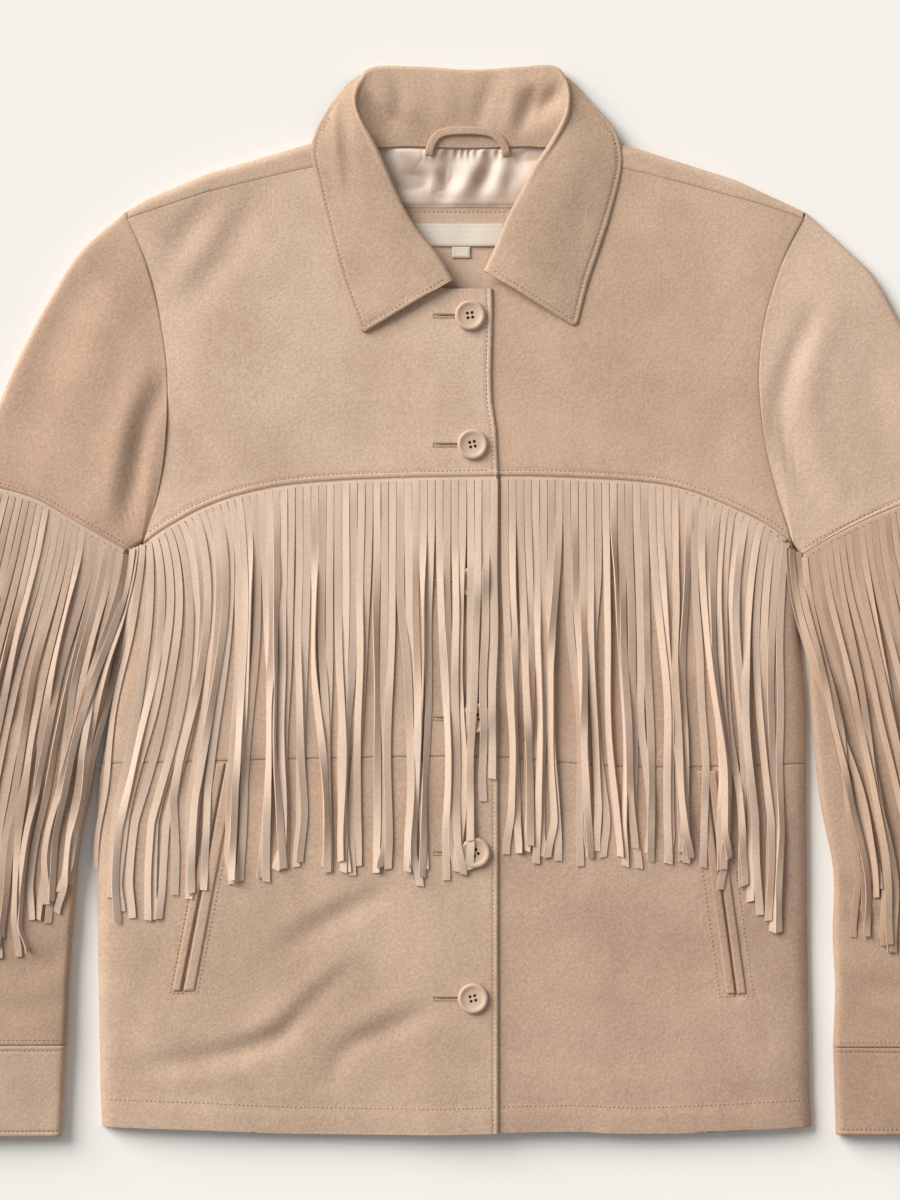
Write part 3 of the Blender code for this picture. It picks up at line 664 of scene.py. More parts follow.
def make_front(side, band, finish):
    grid = front_grid(side, band)
    x, y = grid[..., 0], grid[..., 1]
    height = front_surface(side, x, y)
    above, below = from_line(grid, grid[-1]), from_line(grid, grid[0])
    outer = grid[:, 0] if side == "right" else grid[:, -1]
    beside = from_line(grid, outer)
    if band == "yoke":
        height += seam_groove(below, drop=YOKE_DROP) + 0.20 * bump(below, 7.0)
        height += seam_groove(above, False, YOKE_DROP) + seam_groove(beside, False, 0.5)
        near = np.minimum(np.minimum(below, above), beside)
    elif band == "chest":
        height += seam_groove(below, stitched=False) - 0.9 * bump(above, 5.0)
        near = np.minimum(below, above)
    else:
        from_hem = from_line(grid, HEM_LINE)
        height += seam_groove(above, stitched=False) - 0.45 * bump(np.abs(from_hem - HEM_STITCH), 0.8)
        height += 0.35 * ease(from_hem, HEM_STITCH, HEM_STITCH - 1.5) - 1.2 * pocket_dip(x, y)
        near = above
    # Painted shade beside the panel's seams and, on the right front, along its edge.
    seam = np.exp(-near / SEAM_SHADE)
    if side == "right":
        edge = from_line(grid, grid[:, -1])
        height += seam_groove(edge, drop=1.0)
        seam = np.maximum(seam, 0.6 * np.exp(-edge / 0.5))
    piece = laid(f"front_{side}_{band}_suede", grid, height, finish, seam)
    declare(f"front_{side}_{band}", grid)


# The left pieces' tones are set darker than the right ones' as painted shade, away from the lamp; the rest of
# the difference is the skin's own.
FRONT_TONES = {
    # light and shade of each cut piece
    ("right", "yoke"): ((221, 193, 169), (199, 168, 142)),
    ("left", "yoke"): ((212, 181, 154), (192, 160, 132)),
    ("right", "chest"): ((206, 178, 153), (187, 157, 132)),
    ("left", "chest"): ((202, 173, 149), (185, 154, 129)),
    ("right", "skirt"): ((210, 182, 157), (188, 158, 133)),
    ("left", "skirt"): ((203, 173, 149), (180, 149, 126)),
}
for number, ((side, band), (light, shade)) in enumerate(FRONT_TONES.items()):
    make_front(side, band, suede(f"suede_{side}_{band}", light, shade, 2.0 + 1.7 * number))


def make_turned_shoulder(side, xs):
    """The back's shoulder edge, turned forward to the shoulder seam."""
    columns = shares_over(abs(xs[1] - xs[0]))
    places = xs[0] + columns * (xs[1] - xs[0])
    seam, fold = across(TOP_LINE, places), across(BACK_TOP_LINE, places)
    seam[:, 1] += SEAM_GAP
    shares = np.array([0.0, 0.04, 0.1, 0.18, 0.3, 0.45, 0.6, 0.7, 0.8, 0.88, 0.95, 1.0])[:, None, None]
    grid = seam[None] * (1 - shares) + fold[None] * shares
    x, y = grid[..., 0], grid[..., 1]
    gap = from_line(grid, seam)
    height = shared_height(x, y) + seam_groove(gap, False, YOKE_DROP)
    tone = suede(f"suede_shoulder_{side}", (214, 185, 160), (194, 163, 137), 21.0)
    piece = laid(f"shoulder_{side}_suede", grid, height, tone, np.exp(-gap / SEAM_SHADE))
    declare(f"back_shoulder_{side}", grid)


make_turned_shoulder("right", (-222.8, -86.0))
make_turned_shoulder("left", (86.0, 223.2))


# ---------------------------------------------------------------- sleeves
# Two-part sleeves lying flat beside the body: a cap set into the armhole down to the fringe seam, a lower
# sleeve behind its fringe and a plain cuff band, turned under and stitched at both edges.

RIGHT_SLEEVE = [
    # inner x, y, outer x, y
    (-221.8, 383.0, -328.0, 430.0),
    (-224.8, 360.0, -341.0, 388.0),
    (-231.6, 318.0, -351.0, 345.0),
    (-241.0, 262.0, -366.0, 285.0),
    (-246.5, 225.0, -376.0, 235.0),
    (-254.0, 190.0, -381.5, 195.0),
    (-257.5, 150.0, -384.0, 152.0),
    (-261.0, 105.0, -383.5, 105.0),
    (-263.0, 57.5, -381.5, 57.5),
    (-266.0, -3.0, -379.5, -3.0),
]
LEFT_SLEEVE = [
    (222.3, 381.0, 329.0, 426.0),
    (223.6, 352.0, 337.5, 383.0),
    (226.2, 318.0, 346.5, 325.0),
    (230.0, 262.0, 355.5, 262.0),
    (235.0, 216.0, 359.5, 215.0),
    (243.5, 172.0, 362.0, 172.0),
    (243.0, 130.0, 363.0, 127.0),
    (244.5, 95.0, 362.8, 92.0),
    (243.3, 56.0, 362.3, 56.0),
    (245.0, -2.0, 360.4, -2.0),
]
CUFF_START = 8
SLEEVE_SEAMS = {
    "right": [(-221.8, 383.0), (-256.5, 402.3), (-281.8, 416.9), (-306.9, 424.6), (-328.0, 430.0)],
    "left": [(222.3, 381.0), (247.2, 395.5), (286.8, 413.0), (329.0, 426.0)],
}
CAP_FOLDS = {
    "right": [
        (-225.6, 607.0), (-254.6, 580.5), (-275.9, 547.5), (-293.4, 514.6), (-306.9, 483.8), (-328.0, 430.0),
    ],
    "left": [
        (226.0, 607.0), (251.0, 584.3), (270.4, 565.0), (286.8, 535.9), (303.6, 502.9), (329.0, 426.0),
    ],
}
SLEEVE_CREASES = [
    ([(-200, 492), (-210, 472), (-216, 445), (-221, 420), (-225, 404)], 7.5, -3.4),
    ([(-212, 500), (-224, 470), (-231, 440), (-237, 415)], 10.0, 1.8),
    ([(-243, 561), (-265, 520), (-283, 486), (-295, 440)], 14.0, -1.5),
    ([(-228, 560), (-243, 520), (-256, 480)], 14.0, 0.8),
    ([(-232, 575), (-262, 545), (-285, 505)], 10.0, -0.8),
    ([(230, 538), (219, 517), (209, 488), (209, 464), (219, 439), (232, 420)], 7.5, -2.4),
    ([(240, 545), (230, 510), (226, 480), (234, 450), (246, 428)], 9.0, 1.3),
    ([(262, 520), (272, 480), (282, 440)], 13.0, -1.0),
    ([(245, 166), (258, 158), (276, 160)], 6.0, -2.0),
    ([(250, 148), (262, 141), (282, 145)], 6.0, -1.4),
    ([(262, 131), (280, 124), (300, 128)], 7.0, -1.0),
    ([(246, 108), (262, 96), (290, 92)], 8.0, -1.4),
    ([(-262, 120), (-285, 108), (-310, 112)], 9.0, -1.0),
    ([(-264, 88), (-290, 80), (-320, 86)], 9.0, -0.8),
    ([(-300, 250), (-330, 230), (-360, 225)], 10.0, -1.2),
    ([(-260, 300), (-290, 280), (-330, 275)], 10.0, -1.2),
    ([(300, 250), (325, 232), (350, 228)], 10.0, -1.1),
    ([(250, 290), (280, 276), (310, 272)], 10.0, -1.1),
]
SLEEVE_FACE = 7.6
SLEEVE_FOLD = 3.9  # radius of the folded edges
SLEEVE_GAP = 0.12  # from each part's edge to the seam's middle
ARMHOLE_GAP = 0.03


def sleeve_height(x, y):
    folds = 1.3 * creases(x, y, SLEEVE_CREASES) + ripple(x, y, 8, 90.0, 0.45)
    return SLEEVE_FACE + 2.6 * ease(y, 385.0, 260.0) + folds


def sleeve_ring(line, grooves, inset):
    """A flattened tube's section over a line in plan: folded edge, upper face, folded edge, lower face."""
    run = run_along(line)
    length = run[-1]
    fold = SLEEVE_FOLD - inset
    arc = np.linspace(-math.pi / 2, math.pi / 2, 9)
    inward = inset + fold * (1 - np.cos(arc))
    share = (1 + np.sin(arc)) / 2
    face = np.linspace(inset + fold, length - inset - fold, 36)[1:-1]
    upper = np.concatenate([inward, face, length - inward[::-1]])
    rise = np.concatenate([share, np.ones(len(face)), share[::-1]])
    plan = points_at(upper, run, line)
    crown = 1.3 * np.sin(math.pi * np.clip(upper / length, 0, 1)) ** 0.7
    high = sleeve_height(plan[:, 0], plan[:, 1]) + crown + grooves
    top = np.column_stack([plan, inset + (high - 2 * inset) * rise])
    under = points_at(face[::-1][::3], run, line)
    return np.concatenate([top, np.column_stack([under, np.full(len(under), inset)])])


def tube(name, node, lines, along, finish, stitch_start, stitch_end, flip, settle):
    """A sleeve piece: outer and inner face over many rings, closed at both ends round the thickness."""
    outer, inner, marks = [], [], []
    total = along[-1]
    for line, run in zip(lines, along):
        groove = seam_groove(np.array(run), stitch_start) + seam_groove(np.array(total - run), stitch_end)
        groove -= settle * ease(run, 24.0, 0.0)
        outer.append(sleeve_ring(line, groove, 0.0))
        inner.append(sleeve_ring(line, groove, CLOTH))
        marks.append(np.full(len(outer[-1]), math.exp(-min(run, total - run) / SEAM_SHADE)))
    outer, inner, marks = np.array(outer), np.array(inner), np.array(marks)
    rings, count = outer.shape[:2]
    inside = rings * count  # the first of the inner face's points
    faces = [grid_faces(rings, count, 0, True), grid_faces(rings, count, inside, True)[:, ::-1]]
    j = np.arange(count)
    k = (j + 1) % count
    last = (rings - 1) * count
    low = np.stack([k, j, inside + j, inside + k], axis=1)
    high = np.stack([last + j, last + k, inside + last + k, inside + last + j], axis=1)
    faces = np.concatenate(faces + [low, high])
    if flip:
        faces = faces[:, ::-1]
    points = np.concatenate([outer.reshape(-1, 3), inner.reshape(-1, 3)])
    piece = build(name, points, faces, finish, np.concatenate([marks.ravel(), marks.ravel()]))
    declare(node, np.concatenate([outer, outer[:, :1]], axis=1))


def make_sleeve(side, column, stations, tones):
    outward = -1.0 if side == "right" else 1.0
    points = 60
    armhole_y = np.linspace(ARMHOLE_Y + 1.0, SIDES[-1, 0], points)
    armhole = np.column_stack([side_x(armhole_y, column) + outward * ARMHOLE_GAP, armhole_y])
    seam = smooth_line(SLEEVE_SEAMS[side], points)
    cap_rows = shares_over(200.0)
    fold = at_shares(cap_rows, smooth_line(CAP_FOLDS[side], 200))
    fold[0] = armhole[-1]
    underarm = armhole[0] * (1 - cap_rows[:, None]) + seam[0] * cap_rows[:, None]
    cap = patch(armhole, seam, underarm, fold, np.linspace(0, 1, points), cap_rows)
    cap[-1] += (0.0, SLEEVE_GAP)

    share = np.linspace(0.0, 1.0, points)[:, None]
    bow = seam - (seam[0] * (1 - share) + seam[-1] * share)
    stations = np.array(stations)
    lower_rows = shares_over(370.0, 4.5)
    lower = []
    for step, row in zip(lower_rows, at_shares(lower_rows, smooth_line(stations[: CUFF_START + 1], 400))):
        straight = row[:2] * (1 - share) + row[2:] * share
        lower.append(straight + bow * max(0.0, 1.0 - step * 3.0))
    lower[0] = lower[0] - (0.0, SLEEVE_GAP)
    lower[-1] = lower[-1] + (0.0, SLEEVE_GAP)

    cuff_rows = shares_over(60.0)
    cuff = []
    for row in at_shares(cuff_rows, smooth_line(stations[CUFF_START:], 400)):
        cuff.append(row[:2] * (1 - share) + row[2:] * share)
    cuff[0] = cuff[0] - (0.0, SLEEVE_GAP)

    for part, name, node, rings, along, stitch_start, stitch_end, settle, seed in (
        # how far along the rings lie, whether the start and the end are stitched, how far the start settles
        ("cap", "cap", f"sleeve_{side}_upper", cap, cap_rows * 130.0, False, True, 1.3, 31.0),
        ("lower", "lower_sleeve", f"sleeve_{side}_lower", lower, lower_rows * 345.0, False, False, 0.0, 35.0),
        ("cuff", "cuff", f"cuff_{side}", cuff, cuff_rows * 60.0, True, True, 0.0, 39.0),
    ):
        finish = suede(f"suede_{part}_{side}", *tones[part], seed + column)
        name = f"{name}_{side}_suede"
        tube(name, node, rings, along, finish, stitch_start, stitch_end, side == "left", settle)


# The left cuff is set darker than the right one as painted shade, away from the lamp.
make_sleeve("right", 1, RIGHT_SLEEVE, {
    "cap": ((210, 178, 152), (189, 156, 130)),
    "lower": ((196, 166, 141), (176, 146, 121)),
    "cuff": ((205, 178, 155), (188, 160, 136)),
})
make_sleeve("left", 2, LEFT_SLEEVE, {
    "cap": ((219, 191, 166), (201, 171, 146)),
    "lower": ((195, 165, 140), (177, 146, 122)),
    "cuff": ((188, 157, 133), (168, 138, 115)),
})


# ---------------------------------------------------------------- neck opening
# Inside the neck: a facing of suede, a strip of satin lining above it, a woven neck label with a small tab
# under it, both left bare, and a hanger loop of folded suede sewn in at the collar seam.

FACING_TOP = 610.4
LINING_BASE = 2.3

LINING_FOLDS = [
    ([(-58, 650), (-50, 641), (-42, 628)], 6.0, -1.7),
    ([(-46, 650), (-30, 645), (-14, 648)], 5.0, 1.2),
    ([(-46, 622), (-34, 627), (-22, 626)], 6.5, -1.6),
    ([(-30, 640), (-20, 634), (-16, 622)], 5.0, 1.6),
    ([(-6, 649), (-11, 634), (-18, 615)], 6.5, -1.9),
    ([(12, 648), (4, 632), (-6, 616)], 6.0, 1.9),
    ([(20, 648), (16, 634), (8, 618)], 5.0, -1.2),
    ([(26, 646), (24, 630), (18, 616)], 6.0, 1.3),
    ([(34, 640), (42, 645), (54, 646)], 6.0, -1.7),
    ([(30, 622), (42, 628), (52, 632)], 6.5, 1.1),
]


def strip_plan(left, right, low, high, columns, rows):
    """A strip in plan, its left and right ends given low, half way up and high."""
    v = np.linspace(0.0, 1.0, rows)
    start, end = np.interp(v, (0, 0.5, 1), left), np.interp(v, (0, 0.5, 1), right)
    u = np.linspace(0.0, 1.0, columns)[None]
    x = start[:, None] * (1 - u) + end[:, None] * u
    return np.dstack([x, np.repeat((low + (high - low) * v)[:, None], columns, axis=1)])


def satin():
    """Warped satin: smooth threads running down the strip and a soft broken gloss, with painted highlights
    and painted shade in its colour by how each slope faces the lamp.
    """
    weave = Finish("satin_lining", {"Sheen Weight": 0.2, "Specular IOR Level": 0.42, "Anisotropic": 0.5})
    threads = weave.noise(2600.0, 1.0, 0.4, (1.0, 0.05, 1.0))
    cloud = weave.noise(70.0, 2.0, 0.5, (1.0, 0.6, 1.0), 4.0)
    # The fold value paints light and shade: lighter where the satin slopes toward the lamp, darker where it
    # slopes away.
    share = weave.attribute("fold") * 0.75 + cloud.ease(0.35, 0.7) * 0.25
    colour = weave.blend(share, linear(178, 150, 128), linear(236, 219, 204))
    rough = weave.noise(120.0, 2.0, 0.5) * 0.10 + 0.40
    return weave.show(colour=colour, roughness=rough, normal=weave.relief(threads, 0.05 * MM, 0.4))


def woven_label():
    """Ivory ribbon with a fine rib across it and a darker zigzag border."""
    ribbon = Finish("woven_label", {"Sheen Weight": 0.1, "Specular IOR Level": 0.3})
    place = ribbon.node("TexCoord", {}, {}, "Object")
    wave = {"Vector": place, "Scale": 380.0, "Distortion": 0.6}
    rib = ribbon.node("TexWave", {"bands_direction": "Y"}, wave)
    cloud = ribbon.noise(400.0, 2.0)
    colour = ribbon.blend(cloud, linear(216, 203, 187), linear(230, 219, 204))
    colour = ribbon.blend(ribbon.attribute("border") * 0.5, colour, linear(176, 156, 130))
    return ribbon.show(colour=colour, roughness=rib * 0.1 + 0.7, normal=ribbon.relief(rib, 0.12 * MM, 0.4))


def make_facing():
    plan = strip_plan((-14.0, -32.0, -50.0), (26.0, 40.0, 52.0), 552.0, FACING_TOP, 44, 28)
    x, y = plan[..., 0], plan[..., 1]
    height = 3.2 + ripple(x, y, 21, 60.0, 0.3) + 0.5 * bump(FACING_TOP - y, 3.0) - 0.35 * bump(y - 607.6, 0.8)
    tone = suede("suede_facing", (212, 184, 160), (200, 171, 147), 51.0)
    # The seam value darkens the facing's top edge under the lining as painted shade.
    facing = laid("neck_facing_suede", plan, height, tone, np.exp(-(FACING_TOP - y) / 0.8))
    declare("neck_facing", plan)


def make_lining():
    """Satin lying in loose folds, puckered where the label is sewn through it."""
    plan = strip_plan((-50.0, -56.0, -60.0), (52.0, 57.0, 60.0), 610.8, 652.4, 130, 50)
    x, y = plan[..., 0], plan[..., 1]
    pucker = 0.5 * np.sin(x * 1.15 + 2.0 * np.sin(x * 0.23)) * bump(648.0 - y, 4.0)
    height = 3.6 + creases(x, y, LINING_FOLDS) * 1.05 + ripple(x, y, 31, 22.0, 0.35)
    height += pucker * ease(np.abs(x - 2.0), 34.0, 24.0) - 0.8 * bump(y - 610.8, 2.0)
    height = LINING_BASE + (np.maximum(height, LINING_BASE) - LINING_BASE) * ease(y, 652.0, 648.0)
    lining = laid("neck_lining_satin", plan, height, satin(), wall=0.5)
    # Painted light and shade for the satin's colour: how far each slope turns toward the lamp, kept as the
    # fold value.
    facing_light = np.gradient(height, axis=1) / np.gradient(x, axis=1) - np.gradient(height, axis=0) / 0.85
    mark(lining, "fold", np.tile(ease(facing_light, -0.5, 0.45).ravel(), 2))
    declare("neck_lining", plan)


def make_labels():
    ribbon = woven_label()
    for name, node, ends, low, high in (
        ("neck_label", "label", (-33.3, 25.7), 585.0, 600.0),
        ("size_tab_ribbon", "size_tab", (-8.6, 3.3), 577.4, 584.6),
    ):
        columns = max(12, int((ends[1] - ends[0]) / 0.6))
        plan = strip_plan((ends[0],) * 3, (ends[1],) * 3, low, high, columns, 24)
        x, y = plan[..., 0], plan[..., 1]
        edge = np.minimum(np.minimum(x - ends[0], ends[1] - x), np.minimum(y - low, high - y))
        zigzag = 0.16 * np.sin(2 * math.pi * (x + y) / 1.9) * bump(edge - 1.0, 0.7)
        height = 4.6 + ripple(x, y, 41, 30.0, 0.2) - 0.35 * bump(edge, 0.5) + zigzag
        piece = laid(name, plan, height, ribbon, wall=0.7)
        mark(piece, "border", np.tile((ease(zigzag, 0.0, 0.12) + 0.5 * bump(edge, 0.4)).ravel(), 2))
        wide, tall = cut_size(plan)[0]
        declare(node, plan)


make_facing()
make_lining()
make_labels()

LOOP_LINE = [
    (-24.0, 645.0), (-22.6, 651.0), (-19.0, 657.0), (-12.0, 660.2), (0.0, 661.0), (12.0, 660.4),
    (20.0, 658.0), (25.5, 652.0), (27.5, 645.0),
]


def make_hanger_loop():
    """A narrow folded strip with a stitched groove along it, arching over the neck seam."""
    count, sides = 60, 16
    line = smooth_line(LOOP_LINE, count)
    tangent = np.gradient(line, axis=0)
    side = np.column_stack([-tangent[:, 1], tangent[:, 0]])
    side /= np.linalg.norm(side, axis=1, keepdims=True)
    turn = np.linspace(0, 2 * math.pi, sides, endpoint=False)
    u = np.sign(np.cos(turn)) * np.abs(np.cos(turn)) ** 0.45 * 2.7
    v = np.sign(np.sin(turn)) * np.abs(np.sin(turn)) ** 0.7 * 1.1
    v = v - 0.35 * (v > 0) * bump(np.abs(u), 0.8)
    height = 4.6 + 3.6 * np.sin(math.pi * np.linspace(0, 1, count)) ** 0.5
    plan = line[:, None] + side[:, None] * u[None, :, None]
    rings = np.dstack([plan, height[:, None] + v[None]])
    faces = [list(face)[::-1] for face in grid_faces(count, sides, 0, True)]
    faces += [list(range(sides)), list(range((count - 1) * sides, count * sides))[::-1]]
    tone = suede("suede_loop", (206, 176, 150), (190, 158, 132), 55.0)
    loop = build("hanger_loop_suede", rings.reshape(-1, 3), faces, tone, np.zeros(count * sides))
    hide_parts("hanger_loop")


# ---------------------------------------------------------------- collar
# Two layers of suede, seamed and turned at the outer edge and topstitched, folded over along the roll line.
# In front the fall lies open on the yokes. Behind the neck it turns under, so that the stand's inside shows.

COLLAR_WALL = 2.2
COLLAR_POINT = 6.0  # radius of the rounding at the fall's tips
STAND = 50.0  # given in place of a gap on the stand, which has no outer edge
COLLAR = [
    # neck seam x, y, z, roll line x, y, z, outer edge x, y, z, turn of the fall
    (-22.0, 556.5, 10.3, -10.5, 560.5, 12.4, -68.6, 526.0, 9.9, 0.0),
    (-35.0, 576.0, 9.7, -21.0, 578.0, 12.0, -81.5, 562.0, 9.4, 0.0),
    (-48.0, 592.0, 9.0, -33.5, 594.5, 11.6, -91.7, 599.3, 9.2, 0.0),
    (-58.0, 609.0, 8.6, -44.0, 612.5, 11.4, -98.0, 628.0, 9.0, 0.0),
    (-65.0, 625.0, 8.6, -53.5, 634.0, 11.8, -101.6, 646.0, 9.0, 20.0),
    (-67.0, 638.0, 8.6, -62.0, 653.0, 12.4, -98.5, 660.0, 8.6, 45.0),
    (-64.0, 647.5, 8.2, -69.5, 668.0, 12.6, -91.0, 674.0, 6.8, 80.0),
    (-58.0, 650.5, 6.4, -72.5, 681.0, 11.4, -82.5, 686.0, 5.2, 112.0),
    (-50.0, 651.2, 4.8, -68.5, 692.5, 8.4, -74.0, 695.0, 3.4, 142.0),
    (-40.0, 651.2, 4.2, -59.0, 700.5, 5.2, -63.0, 697.0, 1.6, 172.0),
    (-20.0, 650.5, 4.2, -28.0, 700.5, 4.4, -30.0, 672.0, 1.2, 180.0),
    (2.0, 650.0, 4.2, 2.0, 698.5, 4.3, 2.0, 662.0, 1.2, 180.0),
    (22.0, 650.5, 4.2, 30.0, 700.0, 4.4, 32.0, 672.0, 1.2, 180.0),
    (40.0, 651.2, 4.2, 56.0, 701.5, 5.2, 60.0, 697.0, 1.6, 172.0),
    (48.0, 651.2, 4.8, 65.0, 694.0, 8.4, 72.0, 693.0, 3.4, 142.0),
    (58.0, 650.5, 6.4, 68.0, 682.0, 11.4, 82.0, 681.0, 5.2, 112.0),
    (64.0, 647.5, 8.2, 66.0, 668.0, 12.6, 93.0, 669.0, 6.8, 80.0),
    (67.0, 637.0, 8.6, 58.0, 652.0, 12.4, 101.5, 655.0, 8.6, 45.0),
    (65.0, 623.0, 8.6, 48.5, 637.0, 11.8, 103.4, 636.0, 9.0, 20.0),
    (57.0, 608.0, 8.6, 40.0, 620.0, 11.4, 97.0, 608.0, 9.0, 0.0),
    (46.5, 592.0, 8.6, 31.0, 603.0, 11.4, 89.0, 583.0, 9.2, 0.0),
    (36.0, 577.5, 8.6, 23.0, 583.5, 11.4, 81.0, 559.2, 9.4, 0.0),
    (27.0, 562.5, 8.6, 15.0, 566.5, 11.4, 73.9, 530.0, 9.6, 0.0),
]
COLLAR_FOLDS = [
    ([(-84, 680), (-85, 655), (-82, 618)], 2.8, 1.2),
    ([(-77, 676), (-77, 652), (-75, 622)], 4.0, -0.9),
    ([(-68, 684), (-61, 671), (-48, 657)], 7.0, -3.8),
    ([(-62, 690), (-46, 678), (-28, 670)], 7.0, 1.6),
    ([(-66, 687), (-54, 674), (-42, 666)], 4.0, -1.4),
    ([(64, 691), (58, 682), (47, 675)], 5.5, -3.8),
    ([(56, 697), (44, 691), (30, 690)], 6.0, 1.5),
    ([(62, 670), (52, 663), (40, 660)], 6.0, 1.1),
    ([(17, 695), (13, 680), (8, 664)], 5.5, -1.8),
    ([(31, 699), (31, 680), (27, 662)], 5.0, 1.3),
    ([(47, 691), (43, 680), (37, 662)], 4.5, -2.4),
    ([(-14, 698), (-12, 680), (-16, 662)], 7.0, 0.9),
    ([(-46, 695), (-43, 680), (-47, 666)], 5.5, -1.5),
    ([(82, 640), (78, 610), (70, 580)], 9.0, -0.7),
    ([(-60, 600), (-66, 575), (-62, 550)], 9.0, -0.5),
]


def collar_section(row, from_end):
    """One section, from the neck seam up the stand, over the roll and down the fall: its points, the way from
    each to the side that shows, and each one's gap from the outer edge."""
    upright = np.array([0.0, 0.0, 1.0])
    neck, roll, outer = row[:3], row[3:6], row[6:9].copy()
    inward = (roll - outer) / np.linalg.norm(roll - outer)
    outer += inward * 5.0 * (1 - math.sqrt(1 - max(0.0, 1 - from_end / COLLAR_POINT) ** 2))
    turn = math.radians(row[9])
    fall_share = (1 + math.cos(turn)) / 2
    outward = (outer - roll) * fall_share + (roll - neck) * (1 - fall_share)
    outward[2] = 0.0
    outward /= np.linalg.norm(outward)
    to_fall = math.cos(turn) * upright + math.sin(turn) * outward
    to_fold = -math.cos(turn) * outward + math.sin(turn) * upright
    fold = COLLAR_WALL / 2 + 1.0
    arc_angles = np.linspace(0.0, math.pi, 11)
    around = [-math.cos(angle) * to_fall + math.sin(angle) * to_fold for angle in arc_angles]
    arc = [roll + fold * radial for radial in around]
    stand, fall = [], []
    for share in np.linspace(0.0, 1.0, 16)[:-1]:
        bow = 1.8 * (1 - fall_share) * math.sin(math.pi * share)
        stand.append(neck * (1 - share) + arc[0] * share + upright * bow)
    reach = np.linalg.norm(outer - arc[-1])
    tail = min(7.0, reach / 2)
    near_edge = np.array([5.6, 4.6, 4.0, 3.5, 3.0, 2.4, 1.6, 0.9, 0.4, 0.0]) * tail / 7.0
    down_fall = np.concatenate([np.linspace(0, reach - tail, 17)[1:], reach - near_edge])
    for share in down_fall / reach:
        bow = 2.0 * max(math.cos(turn), 0.0) * math.sin(math.pi * share ** 0.8)
        fall.append(arc[-1] * (1 - share) + outer * share + upright * bow)
    away = [-to_fall] * len(stand) + around + [to_fall] * len(fall)
    gap = np.concatenate([np.full(len(stand) + len(arc), STAND), reach - down_fall])
    return stand + arc + fall, away, gap


def make_collar():
    stations = at_shares(shares_over(1000.0, 5.6), smooth_line(COLLAR, 900))
    edge_run = run_along(stations[:, 6:9])
    from_end = np.minimum(edge_run, edge_run[-1] - edge_run)
    sections = [collar_section(row, ending) for row, ending in zip(stations, from_end)]
    middle, away, gap = (np.array(values) for values in zip(*sections))
    front = from_line(middle, middle[0, :, :2])
    front = np.minimum(front, from_line(middle, middle[-1, :, :2]))
    gap = np.where(gap < STAND - 1.0, np.minimum(gap, front), STAND)
    swell = creases(middle[..., 0], middle[..., 1], COLLAR_FOLDS)
    middle[..., 2] += np.where(middle[..., 2] > 2.4, swell, 0.0)
    rounded = COLLAR_WALL / 2 * np.sqrt(np.clip(1 - (1 - np.minimum(gap, 1.4) / 1.4) ** 2, 0.12, 1.0))
    upper = middle + away * (rounded - 0.5 * bump(gap - EDGE_STITCH, 0.7))[..., None]
    lower = middle - away * rounded[..., None]
    tone = suede("suede_collar", (208, 178, 152), (186, 156, 130), 61.0)
    # The seam value here darkens the collar's outer and front edges as painted shade.
    collar = cloth("collar_suede", lower, upper, tone, 0.8 * np.exp(-gap / 0.5))
    declare("collar", middle)
    return stations


collar_stations = make_collar()
make_hanger_loop()


# ---------------------------------------------------------------- pockets
# Each welt pocket is a slit between two folded strips of suede let into the skirt panel, leaning with the
# side seam and boxed in by a line of stitching.

WELT_LENGTH = 150.0
WELTS = {
    # top and bottom of each strip's middle, and its width
    "right_outer": ((-161.0, 243.6), (-190.2, 93.5), 5.4),
    "right_inner": ((-153.6, 243.6), (-181.8, 93.5), 7.4),
    "left_inner": ((155.4, 238.6), (175.2, 91.5), 6.0),
    "left_outer": ((162.4, 238.6), (182.4, 91.5), 6.0),
}


def make_welt(name, top, bottom, width):
    side = name.split("_")[0]
    shares = shares_over(WELT_LENGTH, 4.0)[:, None]
    middle = np.array(bottom) * (1 - shares) + np.array(top) * shares
    spans = np.linspace(-1, 1, 11)
    plan = middle[:, None] + np.dstack([spans * width / 2, spans * 0])
    x, y = plan[..., 0], plan[..., 1]
    ground = front_surface(side, x, y)
    crown = np.sqrt(np.clip(1 - np.abs(spans) ** 6.0, 0.0, 1.0))[None]
    ends = np.clip(np.minimum(shares, 1 - shares) * WELT_LENGTH / 1.2, 0.0, 1.0) ** 0.5
    height = ground + 0.15 + crown * ends + ripple(x, y, 71, 40.0, 0.15)
    # The left welts' tones are set darker as painted shade, away from the lamp.
    tones = {"right": ((208, 178, 153), (188, 157, 131)), "left": ((200, 169, 144), (180, 148, 124))}[side]
    tone = suede(f"suede_welt_{name}", *tones, 73.0)
    # Painted shade along the welt's edges, through the seam value.
    near = np.exp(-(1 - np.abs(spans))[None] * width / 2 / 0.8) * np.ones_like(height)
    upper, lower = np.dstack([plan, height]), np.dstack([plan, ground - 0.6])
    welt = cloth(f"welt_{name}_suede", upper, lower, tone, near)
    declare(f"welt_{name}", plan)


for name, (top, bottom, width) in WELTS.items():
    make_welt(name, top, bottom, width)


# ---------------------------------------------------------------- buttons
# Six four-hole buttons of matt moulded resin, dyed to match, with a raised rim round a shallow dish. Each is
# sewn to the left front and pushed through a buttonhole worked in thread across the right one.

